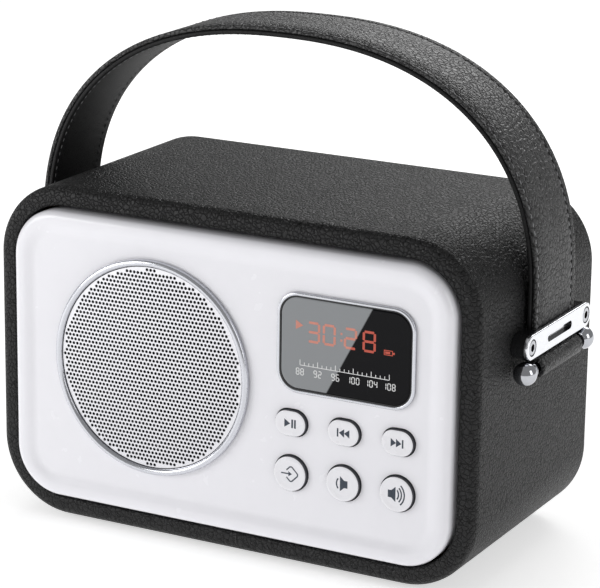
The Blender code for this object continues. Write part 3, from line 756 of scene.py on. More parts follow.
@dataclass
class FrontPanel:
    """The white dished moulding with its openings."""

    paint: Paint
    corner: float = 19.5 * MM
    edge: float = 3.0 * MM
    dish_depth: float = 1.2 * MM
    dish_width: float = 10.0 * MM
    wall: float = 2.2 * MM

    def build(self) -> list[bpy.types.Object]:
        """Build the panel."""
        low, high = extent("front_panel")
        size = high - low
        form = Form("front_moulding")
        form.plate(size.x, size.z, low.y, high.y, self.corner, 20)
        form.soften(FRONT, self.edge, 7)
        form.terrace(FRONT, self.cove())
        centre_z = (low.z + high.z) / 2
        # the openings' walls take the painted shade
        form.pierce(FRONT, self.holes(centre_z), self.wall, coat=1)
        form.open(BACK)
        form.moved(Matrix.Translation((0, 0, centre_z)))
        return [form.dressed(self.paint.white, Slot.WHITE, replaces=["front_panel"], second=self.paint.painted_shade)]

    def cove(self) -> list[tuple[float, float]]:
        """Return the steps of the cove from the rim down to the flat face."""
        steps = 8
        span = self.dish_width - self.edge - 1 * MM
        falls = [self.dish_depth * (1 - math.cos(math.pi * i / steps)) / 2 for i in range(steps + 1)]
        shape = [(1 * MM, 0.0)]
        shape += [(span / steps, low - high) for low, high in zip(falls, falls[1:])]
        return shape + [(0.4 * MM, 0.0)]

    def holes(self, centre_z: float) -> list[Hole]:
        """Return the openings for the loudspeaker, the display and the buttons."""
        speaker = middle("speaker_ring")
        display = middle("display_bezel")
        low, high = extent("display_bezel")
        holes = [Hole(speaker.x, speaker.z - centre_z, 83.2 * MM, 0, round_steps=96)]
        inset = 1.8 * MM
        holes.append(Hole(
            display.x, display.z - centre_z, high.x - low.x - inset, high.z - low.z - inset, 8.1 * MM
        ))
        for kind in Key:
            low, high = kind.cap_box()
            width, height = high.x - low.x + 0.9 * MM, high.z - low.z + 0.9 * MM
            x, z = (low.x + high.x) / 2, (low.z + high.z) / 2 - centre_z
            if kind.round:
                holes.append(Hole(x, z, width, height, round_steps=48))
            else:
                holes.append(Hole(x, z, width, height, height * 0.4995))
        return holes


@dataclass
class Speaker:
    """The trim ring and the perforated grille in front of the loudspeaker."""

    paint: Paint
    ring_outer: float = 43.4 * MM
    ring_inner: float = 40.7 * MM
    ring_rise: float = 2.3 * MM
    grille_radius: float = 40.4 * MM
    pitch: float = 1.64 * MM
    hole: float = 1.3 * MM
    dome: float = 0.6 * MM
    gauge: float = 0.45 * MM

    def build(self) -> list[bpy.types.Object]:
        """Build the ring and the grille."""
        return [self.ring(), self.grille()]

    def stand(self, level: float) -> Matrix:
        """Return the place of something centred on the loudspeaker at a given Y."""
        centre = middle("speaker_ring")
        return Matrix.Translation((centre.x, level, centre.z))

    def ring(self) -> bpy.types.Object:
        """Build the half-round ring, a hair proud of the panel."""
        face = extent("speaker_ring")[0].y + self.ring_rise
        half = (self.ring_outer - self.ring_inner) / 2
        mid = self.ring_inner + half
        crown = [(mid + half * math.cos(t), half * 0.72 + (self.ring_rise - half * 0.72) * math.sin(t))
                 for t in [math.pi * i / 12 for i in range(13)]]
        form = Form("speaker_trim")
        profile = [(41.3 * MM, 0.25 * MM), (self.ring_outer, 0.25 * MM), *crown]
        profile += [(self.ring_inner, -1.9 * MM), (41.3 * MM, -1.9 * MM)]
        form.turned(profile, 128, ring=True)
        form.moved(self.stand(face))
        return form.dressed(self.paint.satin, Slot.CHROME, replaces=["speaker_ring"])

    def cell(self) -> bpy.types.Mesh:
        """Return one cell of the grille: a tile with a round hole, its rim marked as seam."""
        form = Form("grille_cell")
        form.wrapped(2, 1, lambda u, v: Vector(((u - 0.5) * self.pitch, 0, (v - 0.5) * self.pitch)))
        bmesh.ops.dissolve_faces(form.bm, faces=form.bm.faces)
        rim = list(form.bm.edges)
        for edge in rim:
            edge.seam = True
        bmesh.ops.delete(form.bm, geom=list(form.bm.faces), context="FACES_ONLY")
        loop = Hole(0, 0, self.hole, 0, round_steps=8).outline(form, 0)
        bmesh.ops.triangle_fill(form.bm, use_beauty=True, edges=rim + loop, normal=FRONT)
        mesh = bpy.data.meshes.new("grille_cell")
        form.bm.to_mesh(mesh)
        form.bm.free()
        return mesh

    def grille(self) -> bpy.types.Object:
        """Build the sheet of staggered round holes with a plain margin."""
        form = Form("perforated_grille")
        cell = self.cell()
        reach = self.grille_radius - self.pitch * 0.6
        rows = int(self.grille_radius / self.pitch) + 1
        for row in range(-rows, rows + 1):
            shift = 0.5 * (row % 2)
            for column in range(-rows, rows + 1):
                spot = Vector(((column + shift) * self.pitch, 0, row * self.pitch))
                if spot.length < reach:
                    cell.transform(Matrix.Translation(spot))
                    form.bm.from_mesh(cell)
                    cell.transform(Matrix.Translation(-spot))
        bpy.data.meshes.remove(cell)
        bmesh.ops.remove_doubles(form.bm, verts=form.bm.verts, dist=0.01 * MM)
        rim = [edge for edge in form.bm.edges if edge.seam and edge.is_boundary]
        stand = Matrix.Rotation(math.radians(90), 4, "X")
        made = bmesh.ops.create_circle(
            form.bm, cap_ends=False, radius=self.grille_radius, segments=120, matrix=stand
        )
        circle = list({edge for vert in made["verts"] for edge in vert.link_edges})
        bmesh.ops.triangle_fill(form.bm, use_beauty=True, edges=rim + circle, normal=FRONT)
        bmesh.ops.recalc_face_normals(form.bm, faces=form.bm.faces)
        bmesh.ops.solidify(form.bm, geom=form.bm.faces, thickness=self.gauge)
        for vert in form.bm.verts:
            share = (vert.co.x ** 2 + vert.co.z ** 2) / self.grille_radius ** 2
            vert.co.y -= self.dome * (1 - share)
        level = extent("speaker_grille")[0].y + self.dome + self.gauge
        form.moved(self.stand(level))
        return form.dressed(self.paint.mesh, Slot.MESH, replaces=["speaker_grille"])


class Glyphs:
    """Flat characters and signs, built as thin slabs that face front."""

    def __init__(self, name: str, level: float, thickness: float = 0.05 * MM) -> None:
        """Start a group of signs.

        Args:
            name: the finished piece's name.
            level: the Y of the surface the signs sit on.
            thickness: how far they stand out of it.
        """
        self.form = Form(name)
        self.back = level + 0.1 * MM
        self.front = level - thickness

    def bar(
        self, x: float, z: float, width: float, height: float, corner: float = 0.0, turn: float = 0.0
    ) -> None:
        """Add a bar, turned by some degrees about its middle."""
        bar = Form("bar")
        bar.plate(width, height, self.front, self.back, corner, 3)
        swing = Matrix.Rotation(math.radians(turn), 4, "Y")
        self.form.take(bar.moved(Matrix.Translation((x, 0, z)) @ swing))

    def triangle(self, x: float, z: float, width: float, height: float) -> None:
        """Add a triangle whose point looks right, or left for a negative width."""
        tip = Form("triangle")
        bmesh.ops.create_cone(
            tip.bm, cap_ends=True, segments=3, radius1=1, radius2=1, depth=self.back - self.front
        )
        centred = Matrix.Translation((-0.25, 0, 0)) @ Matrix.Rotation(math.radians(-90), 4, "Z")
        lay = Matrix.Rotation(math.radians(90), 4, "X")
        size = Matrix.Diagonal((width / 1.5, 1, height / math.sqrt(3), 1))
        place = Matrix.Translation((x, (self.front + self.back) / 2, z))
        self.form.take(tip.moved(place @ size @ lay @ centred))

    def bow(self, x: float, z: float, radius: float, width: float, start: float, end: float) -> None:
        """Add part of a ring between two angles, in degrees from +X towards +Z."""
        bow = Form("bow")
        corners = [(radius - width / 2, self.back), (radius + width / 2, self.back)]
        corners += [(radius + width / 2, self.front), (radius - width / 2, self.front)]
        verts = [bow.bm.verts.new((across, y, 0)) for across, y in corners]
        face = bow.bm.faces.new(verts)
        bmesh.ops.rotate(
            bow.bm, cent=(0, 0, 0), matrix=Matrix.Rotation(math.radians(-start), 3, "Y"), verts=verts
        )
        bmesh.ops.spin(
            bow.bm, geom=[face, *face.edges, *verts], cent=(0, 0, 0), axis=(0, 1, 0), dvec=(0, 0, 0),
            angle=-math.radians(end - start), steps=14,
        )
        self.form.take(bow.moved(Matrix.Translation((x, 0, z))))

    def horn(self, x: float, z: float, small: float, large: float, length: float) -> None:
        """Add a horn that widens to the right, or to the left for a negative length."""
        horn = Form("horn")
        horn.plate(abs(length), large, self.front, self.back, 0)
        narrow = [v for v in horn.bm.verts if v.co.x * length < 0]
        bmesh.ops.scale(horn.bm, vec=(1, 1, small / large), verts=narrow)
        self.form.take(horn.moved(Matrix.Translation((x, 0, z))))

    SEGMENTS = {
        "0": "abcdef", "1": "bc", "2": "abged", "3": "abgcd", "4": "fgbc", "5": "afgcd",
        "6": "afgedc", "7": "abc", "8": "abcdefg", "9": "abcdfg",
    }

    def figure(self, digit: str, x: float, z: float, width: float, height: float, stroke: float) -> None:
        """Add a seven-segment figure.

        Args:
            digit: a figure from 0 to 9.
            x: the X of its middle.
            z: the Z of its middle.
            width: its width over the outer edges.
            height: its height over the outer edges.
            stroke: the width of its segments.
        """
        side, half = (width - stroke) / 2, (height - stroke) / 2
        long, tall = width - stroke * 1.6, half - stroke * 0.6
        places = {
            "a": (0, half, long, stroke), "g": (0, 0, long, stroke), "d": (0, -half, long, stroke),
            "b": (side, half / 2, stroke, tall), "c": (side, -half / 2, stroke, tall),
            "f": (-side, half / 2, stroke, tall), "e": (-side, -half / 2, stroke, tall),
        }
        for letter in self.SEGMENTS[digit]:
            across, up, wide, high = places[letter]
            self.bar(x + across, z + up, wide, high, stroke * 0.32)


@dataclass
class Display:
    """The trim frame, the window, the glowing clock and a small tuning scale."""

    paint: Paint
    corner: float = 9.0 * MM
    figure_height: float = 8.3 * MM
    figure_width: float = 5.5 * MM
    clock_z: float = 97.2 * MM
    scale_z: float = 81.6 * MM

    def build(self) -> list[bpy.types.Object]:
        """Build the display."""
        return [self.frame(), self.window(), self.clock(), self.scale()]

    @property
    def surface(self) -> float:
        """The Y of the window's outside."""
        return extent("display_window")[0].y

    def frame(self) -> bpy.types.Object:
        """Build the rounded trim frame."""
        low, high = extent("display_bezel")
        form = Form("display_trim")
        form.plate(high.x - low.x, high.z - low.z, low.y, low.y + 1 * MM, self.corner, 12)
        form.soften(FRONT, 0.55 * MM, 4)
        form.terrace(FRONT, [(0.5 * MM, 0), (0.15 * MM, -0.1 * MM)])
        form.terrace(FRONT, [(0.1 * MM, -0.25 * MM), (0.45 * MM, 0), (0, -1.2 * MM)], coat=1)
        form.open(FRONT)
        form.open(BACK)
        centre = middle("display_bezel")
        form.moved(Matrix.Translation((centre.x, 0, centre.z)))
        return form.dressed(
            self.paint.satin, Slot.CHROME, replaces=["display_bezel"], second=self.paint.gloss
        )

    def window(self) -> bpy.types.Object:
        """Build the window with its ground edge."""
        low, high = extent("display_window")
        form = Form("display_glass")
        form.plate(high.x - low.x, high.z - low.z, low.y, high.y, self.corner - 1.9 * MM, 12)
        form.soften(FRONT, 0.35 * MM, 2)
        form.terrace(FRONT, [(0.5 * MM, 0)])
        centre = middle("display_window")
        form.moved(Matrix.Translation((centre.x, 0, centre.z)))
        return form.dressed(self.paint.window, Slot.WINDOW, replaces=["display_window"])

    def clock(self) -> bpy.types.Object:
        """Build the play mark, the four figures, the colon and the battery sign."""
        signs = Glyphs("display_clock", self.surface)
        stroke = 0.95 * MM
        for digit, x in zip("3028", (38.6, 45.2, 54.1, 61.9)):
            signs.figure(digit, x * MM, self.clock_z, self.figure_width, self.figure_height, stroke)
        for rise in (-1.3, 1.3):
            signs.bar(50.3 * MM, self.clock_z + rise * MM, 0.8 * MM, 0.8 * MM)
        signs.triangle(32.6 * MM, self.clock_z + 2.1 * MM, 3.1 * MM, 3.6 * MM)
        for rise in (-0.85, 0.85):
            signs.bar(69.9 * MM, 94.2 * MM + rise * MM, 3.6 * MM, 0.3 * MM)
        for x, width, height in ((68.2, 0.3, 2.0), (71.6, 0.3, 2.0), (72.1, 0.8, 0.8), (69.6, 2.0, 0.9)):
            signs.bar(x * MM, 94.2 * MM, width * MM, height * MM)
        return signs.form.dressed(self.paint.glow, Slot.WINDOW)

    def scale(self) -> bpy.types.Object:
        """Build a plain printed tuning scale with ticks and figures."""
        signs = Glyphs("display_scale", self.surface)
        left, right = 33.0 * MM, 70.5 * MM
        for tick in range(21):
            x = left + (right - left) * tick / 20
            tall = (2.0 if tick % 4 == 0 else 1.1) * MM
            signs.bar(x, self.scale_z + 2.2 * MM + tall / 2, 0.28 * MM, tall)
        signs.bar((left + right) / 2, self.scale_z + 2.1 * MM, right - left, 0.25 * MM)
        for index, number in enumerate(("88", "92", "96", "100", "104", "108")):
            x = left + (right - left) * index / 5
            start = x - 1.9 * MM * (len(number) - 1) / 2
            for place, digit in enumerate(number):
                spot = start + place * 1.9 * MM
                signs.figure(digit, spot, self.scale_z - 0.5 * MM, 1.5 * MM, 2.8 * MM, 0.33 * MM)
        return signs.form.dressed(self.paint.print, Slot.WINDOW)


class Key(Enum):
    """The six push buttons."""

    PLAY = "play"
    PREVIOUS = "previous"
    NEXT = "next"
    SOURCE = "source"
    VOLUME_DOWN = "volume_down"
    VOLUME_UP = "volume_up"

    @property
    def node(self) -> str:
        """The name of the button's node, which is also its body's name."""
        return self.value + "_button"

    @property
    def round(self) -> bool:
        """Whether the cap is round rather than a flat pill."""
        return self in (Key.SOURCE, Key.VOLUME_DOWN, Key.VOLUME_UP)

    def cap_box(self) -> tuple[Vector, Vector]:
        """Return the cap's box without the flange behind it."""
        low, high = extent(self.node)
        flange = Vector((1.0 * MM, 0, 1.0 * MM))
        return low + flange, high - flange


@dataclass
class Keypad:
    """The caps of the buttons and the signs printed on them."""

    paint: Paint
    sunk: float = 0.12 * MM

    def build(self) -> list[bpy.types.Object]:
        """Build every button with its sign."""
        pieces = []
        for key in Key:
            pieces.append(self.cap(key))
            pieces.append(self.sign(key))
        return pieces

    def cap(self, key: Key) -> bpy.types.Object:
        """Build one cap with a softly rounded rim and a slightly dished top; its sides carry painted shade.
        """
        low, high = key.cap_box()
        width, height = high.x - low.x, high.z - low.z
        corner = min(width, height) * 0.4995
        form = Form(key.value + "_cap")
        form.plate(width, height, low.y, high.y, corner, 14)
        # the cap's sides take the painted shade
        for face in form.bm.faces:
            face.material_index = int(abs(face.normal.y) < 0.5)
        form.soften(FRONT, 0.6 * MM, 4)
        form.terrace(FRONT, [(0.8 * MM, 0), (0.8 * MM, -self.sunk), (0.4 * MM, 0)])
        form.moved(Matrix.Translation(((low.x + high.x) / 2, 0, (low.z + high.z) / 2)))
        return form.dressed(self.paint.button, Slot.BUTTON, key.node, [key.node], second=self.paint.painted_shade)

    def sign(self, key: Key) -> bpy.types.Object:
        """Build the sign of one button."""
        low, high = key.cap_box()
        x, z = (low.x + high.x) / 2, (low.z + high.z) / 2
        signs = Glyphs(key.value + "_sign", low.y + self.sunk, 0.04 * MM)
        if key is Key.PLAY:
            signs.triangle(x - 1.2 * MM, z, 2.5 * MM, 3.3 * MM)
            for shift in (0.9, 2.1):
                signs.bar(x + shift * MM, z, 0.72 * MM, 3.4 * MM)
        elif key in (Key.PREVIOUS, Key.NEXT):
            way = 1 if key is Key.NEXT else -1
            for shift in (-1.55, 0.65):
                signs.triangle(x + way * shift * MM, z, way * 2.2 * MM, 3.3 * MM)
            signs.bar(x + way * 2.3 * MM, z, 0.62 * MM, 3.3 * MM)
        elif key is Key.SOURCE:
            self.source_sign(signs, x, z)
        else:
            self.volume_sign(signs, x, z, key is Key.VOLUME_UP)
        return signs.form.dressed(self.paint.ink, Slot.BUTTON, key.node)

    def source_sign(self, signs: Glyphs, x: float, z: float) -> None:
        """Add the rounded diamond that is open at the left with an arrow going in."""
        centre, half, bend, line = x + 0.6 * MM, 3.3 * MM, 0.9 * MM, 0.5 * MM
        corner = half - bend * math.sqrt(2)
        for across, up, start in ((0, corner, 45), (corner, 0, -45), (0, -corner, -135)):
            signs.bow(centre + across, z + up, bend, line, start, start + 90)
        reach = bend / math.sqrt(2)
        full = corner * math.sqrt(2)
        for sign in (-1, 1):
            mid = corner / 2 + reach
            signs.bar(centre + mid, z + sign * mid, full, line, turn=45 * sign)
            short = full * 0.62
            near = short / 2 / math.sqrt(2)
            signs.bar(centre - reach - near, z + sign * (corner + reach - near), short, line, turn=-45 * sign)
        signs.bar(x - 2.0 * MM, z, 3.2 * MM, line)
        signs.triangle(x + 0.3 * MM, z, 1.5 * MM, 2.0 * MM)

    def volume_sign(self, signs: Glyphs, x: float, z: float, louder: bool) -> None:
        """Add the little loudspeaker with one bow for quieter or three for louder."""
        way = 1 if louder else -1
        base = x - 2.6 * MM if louder else x + 1.5 * MM
        signs.bar(base, z, 1.5 * MM, 2.9 * MM)
        signs.horn(base + way * 1.55 * MM, z, 2.9 * MM, 6.0 * MM, way * 1.75 * MM)
        centre = base + way * 0.8 * MM
        radii = (2.9, 4.1, 5.3) if louder else (3.1,)
        for radius in radii:
            angle = 30 + radius * 3
            middle_turn = 0 if louder else 180
            signs.bow(centre, z, radius * MM, 0.55 * MM, middle_turn - angle, middle_turn + angle)


@dataclass
class StrapPath:
    """The side view of the strap's outer face: two upright legs and an arch between them."""

    reach: float = 110.0 * MM
    base_z: float = 109.8 * MM
    foot_z: float = 84.0 * MM
    rise: float = 92.0 * MM
    power: float = 2.34
    marks: list[tuple[float, Vector]] = field(default_factory=list)

    def __post_init__(self) -> None:
        """Walk the path once and note the distance to each point."""
        steps = 900
        points = [Vector((self.reach, 0, self.foot_z))]
        for i in range(steps + 1):
            turn = math.pi * i / steps
            x = math.copysign(self.reach * abs(math.cos(turn)) ** (2 / self.power), math.cos(turn))
            points.append(Vector((x, 0, self.base_z + self.rise * math.sin(turn) ** (2 / self.power))))
        points.append(Vector((-self.reach, 0, self.foot_z)))
        distance = 0.0
        last = points[0]
        for point in points:
            distance += (point - last).length
            self.marks.append((distance, point))
            last = point

    @property
    def length(self) -> float:
        """The whole length of the path."""
        return self.marks[-1][0]

    def point(self, distance: float) -> Vector:
        """Return the point at a distance along the path."""
        low, high = 0, len(self.marks) - 1
        while high - low > 1:
            half = (low + high) // 2
            if self.marks[half][0] <= distance:
                low = half
            else:
                high = half
        (start, first), (end, second) = self.marks[low], self.marks[high]
        share = (distance - start) / max(end - start, 1e-9)
        return first.lerp(second, min(max(share, 0), 1))

    def frame(self, distance: float) -> tuple[Vector, Vector, Vector]:
        """Return the point, the direction of travel and the inward direction there."""
        step = 1.2 * MM
        before = self.point(max(distance - step, 0))
        after = self.point(min(distance + step, self.length))
        along = (after - before).normalized()
        inward = Vector((-along.z, 0, along.x))
        return self.point(distance), along, inward


@dataclass
class Strap:
    """The carrying strap: pebbled leather over a smooth lining, stitched along both edges."""

    paint: Paint
    path: StrapPath = field(default_factory=StrapPath)
    thickness: float = 3.8 * MM
    front_inset: float = 1.5 * MM
    rear_inset: float = 3.9 * MM
    stitch_pitch: float = 3.3 * MM
    thread: float = 0.32 * MM

    def build(self) -> list[bpy.types.Object]:
        """Build the layers, the stitches and the rolled ends."""
        half = self.thickness / 2
        layers = [
            self.layer("strap_leather_face", 0, half - 0.05 * MM, 0.7 * MM, self.paint.strap, True),
            self.layer("strap_lining", half + 0.05 * MM, half, 0.8 * MM, self.paint.lining, False),
        ]
        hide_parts("handle_strap")
        return [*layers, *self.stitches(), *(self.roll(side) for side in Side)]

    @property
    def centre(self) -> float:
        """The Y of the strap's middle line."""
        return middle("handle_strap").y

    @property
    def half_width(self) -> float:
        """Half the strap's width."""
        low, high = extent("handle_strap")
        return (high.y - low.y) / 2

    def section(self, thickness: float, edge: float, grooved: bool) -> list[tuple[float, float]]:
        """Return the cross-section of one layer as (across, depth), outer face first."""
        half = self.half_width
        upper = arc(half - edge, edge, edge, 0, -90, 4)
        lower = arc(half - edge, thickness - edge, edge, 90, 0, 4)
        rear = [*upper, *self.groove(self.rear_inset, grooved), (half * 0.4, 0.0)]
        front = [*upper, *self.groove(self.front_inset, grooved), (half * 0.4, 0.0)]
        front_top = [(-across, depth) for across, depth in reversed(front)]
        front_bottom = [(-across, depth) for across, depth in reversed(lower)]
        return rear + front_top + front_bottom + lower + [rear[0]]

    def groove(self, inset: float, grooved: bool) -> list[tuple[float, float]]:
        """Return the dip that a row of stitches pulls in, at a distance from the edge."""
        if not grooved:
            return []
        line = self.half_width - inset
        dip = ((0.55, 0.0), (0.25, 0.35), (-0.25, 0.35), (-0.6, 0.0))
        return [(line + across * MM, depth * MM) for across, depth in dip]

    def layer(
        self, name: str, depth: float, thickness: float, edge: float, finish: bpy.types.Material,
        grooved: bool,
    ) -> bpy.types.Object:
        """Build one layer by laying a grid round the section and along the path."""
        section = self.section(thickness, edge, grooved)
        count = len(section) - 1

        def place(along: float, around: float) -> Vector:
            point, _, inward = self.path.frame(along * self.path.length)
            across, down = section[round(around * count)]
            return point + inward * (depth + down) + Vector((0, self.centre + across, 0))

        form = Form(name)
        form.wrapped(260, count, place)
        bmesh.ops.remove_doubles(form.bm, verts=form.bm.verts, dist=0.001 * MM)
        open_edges = [edge for edge in form.bm.edges if edge.is_boundary]
        bmesh.ops.holes_fill(form.bm, edges=open_edges, sides=0)
        return form.dressed(finish, Slot.LEATHER, "handle", crease=50)

    def stitches(self) -> list[bpy.types.Object]:
        """Build the rows of thread on both faces."""
        front, rear = self.front_inset - self.half_width, self.half_width - self.rear_inset
        light, dark = self.paint.light_thread, self.paint.dark_thread
        rows = [
            self.row("front_stitches", front, 0.15 * MM, light, 0.0),
            self.row("rear_stitches", rear, 0.2 * MM, light, 0.0),
            # painted shade: near-black beads between the rear stitches stand for the shade in the stitch
            # holes
            self.row("rear_stitch_holes", rear, 0.05 * MM, self.paint.stitch_hole, 0.5),
            self.row("inner_front_stitches", front, self.thickness, light, 0.0),
            self.row("inner_rear_stitches", rear, self.thickness, dark, 0.0),
        ]
        return rows

    def row(
        self, name: str, across: float, depth: float, finish: bpy.types.Material, phase: float
    ) -> bpy.types.Object:
        """Build one row of stitches, or of near-black beads between them that paint the shade of the stitch
        holes.

        Args:
            name: the piece's name.
            across: the row's distance from the strap's middle line.
            depth: its depth into the strap.
            finish: its material.
            phase: 0 for the stitches and 0.5 for the painted hole shade between them.

        Returns:
            The row.
        """
        form = Form(name)
        count = int(self.path.length / self.stitch_pitch)
        size = Matrix.Diagonal((self.stitch_pitch * 0.3, self.thread, self.thread * 0.8, 1))
        if phase:
            size = Matrix.Diagonal((self.stitch_pitch * 0.22, self.thread * 1.9, self.thread * 0.8, 1))
        for number in range(4, count - 3):
            point, along, inward = self.path.frame((number + 0.5 + phase) * self.stitch_pitch)
            spot = point + inward * depth + Vector((0, self.centre + across, 0))
            turn = Matrix((along, Vector((0, 1, 0)), inward)).transposed().to_4x4()
            bmesh.ops.create_icosphere(
                form.bm, subdivisions=1, radius=1, matrix=Matrix.Translation(spot) @ turn @ size
            )
        return form.dressed(finish, Slot.LEATHER, "handle", crease=60)

    def roll(self, side: Side) -> bpy.types.Object:
        """Build the rolled end of the strap round the rod."""
        rod = middle(f"{side.word}_handle_rod")
        radius, length, edge = 4.1 * MM, self.half_width, 0.6 * MM
        form = Form(f"{side.word}_strap_roll")
        profile = [(2.1 * MM, -length + 1 * MM), (2.6 * MM, -length)]
        profile += arc(radius - edge, -length + edge, edge, -90, 0, 4)
        profile += arc(radius - edge, length - edge, edge, 0, 90, 4)
        profile += [(2.6 * MM, length), (2.1 * MM, length - 1 * MM)]
        form.turned(profile, 40)
        form.moved(Matrix.Translation((rod.x, self.centre, rod.z)))
        return form.dressed(self.paint.strap, Slot.LEATHER, "handle")


@dataclass
class SideFittings:
    """On each side: the polished keeper with its screws, and the rod with its two balls."""

    paint: Paint
    slot_length: float = 23.0 * MM
    slot_height: float = 3.2 * MM
    screw_radius: float = 3.0 * MM
    screw_spread: float = 25.6 * MM
    ball: float = 4.6 * MM
    ball_spread: float = 27.5 * MM
    rod: float = 1.75 * MM

    def build(self) -> list[bpy.types.Object]:
        """Build the fittings of both sides."""
        pieces = []
        for side in Side:
            pieces += [self.keeper(side), self.rod_with_balls(side)]
            pieces += [self.screw(side, end) for end in ("front", "rear")]
        return pieces

    def outward(self, side: Side, node: str) -> Matrix:
        """Return the turn and place that set a front-facing form on one side's face."""
        low, high = extent(node)
        centre = (low + high) / 2
        x = high.x if side is Side.RIGHT else low.x
        turn = Matrix.Rotation(math.radians(90 * side.value), 4, "Z")
        return Matrix.Translation((x, centre.y, centre.z)) @ turn

    def keeper(self, side: Side) -> bpy.types.Object:
        """Build the plate with its slot and its screw holes."""
        node = f"{side.word}_keeper_plate"
        low, high = extent(node)
        length, height, thick = high.y - low.y, high.z - low.z, high.x - low.x
        form = Form(f"{side.word}_keeper")
        form.plate(length, height, 0, thick, height * 0.4995, 16)
        form.soften(FRONT, 0.45 * MM, 4)
        form.terrace(FRONT, [(0.25 * MM, 0)])
        holes = [Hole(0, 0, self.slot_length, self.slot_height, self.slot_height * 0.4995)]
        for sign in (-1, 1):
            holes.append(Hole(sign * self.screw_spread, 0, 6.7 * MM, 0, round_steps=40))
        form.pierce(FRONT, holes, thick, coat=1)
        form.moved(self.outward(side, node))
        return form.dressed(self.paint.plate, Slot.CHROME, replaces=[node], second=self.paint.gloss)

    def screw(self, side: Side, end: str) -> bpy.types.Object:
        """Build one flush screw with a hexagonal recess."""
        node = f"{side.word}_{end}_keeper_screw"
        form = Form(node + "_head")
        size = self.screw_radius * 2
        form.plate(size, size, 0, 4.4 * MM, self.screw_radius * 0.9995, 8)
        form.soften(FRONT, 0.35 * MM, 3)
        form.terrace(FRONT, [(0.2 * MM, 0)])
        form.pierce(FRONT, [Hole(0, 0, 3.3 * MM, 0, round_steps=6)], 1.4 * MM, coat=1)
        floor = Form("recess_floor")
        floor.plate(3.3 * MM, 3.3 * MM, 1.4 * MM, 1.6 * MM, 0)
        for face in floor.bm.faces:
            face.material_index = 1
        form.take(floor)
        form.moved(self.outward(side, node))
        return form.dressed(self.paint.chrome, Slot.STEEL, replaces=[node], second=self.paint.gloss)

    def rod_with_balls(self, side: Side) -> bpy.types.Object:
        """Build the rod through the strap's rolled end with a collar and a ball at each end."""
        node = f"{side.word}_handle_rod"
        centre = middle(node)
        neck = self.ball_spread - math.sqrt(self.ball ** 2 - (2.6 * MM) ** 2)
        end = arc(0, self.ball_spread, self.ball, 90, -55, 18)
        end += [(2.5 * MM, neck - 0.2 * MM), (2.5 * MM, neck - 0.4 * MM), (3.1 * MM, neck - 0.6 * MM)]
        end += [(3.2 * MM, neck - 1.0 * MM), (3.1 * MM, neck - 1.5 * MM), (self.rod, neck - 1.5 * MM)]
        form = Form(f"{side.word}_rod_and_balls")
        form.turned(end + [(radius, -ahead) for radius, ahead in reversed(end)], 48)
        form.moved(Matrix.Translation(centre))
        return form.dressed(self.paint.chrome, Slot.CHROME, "handle", [node])


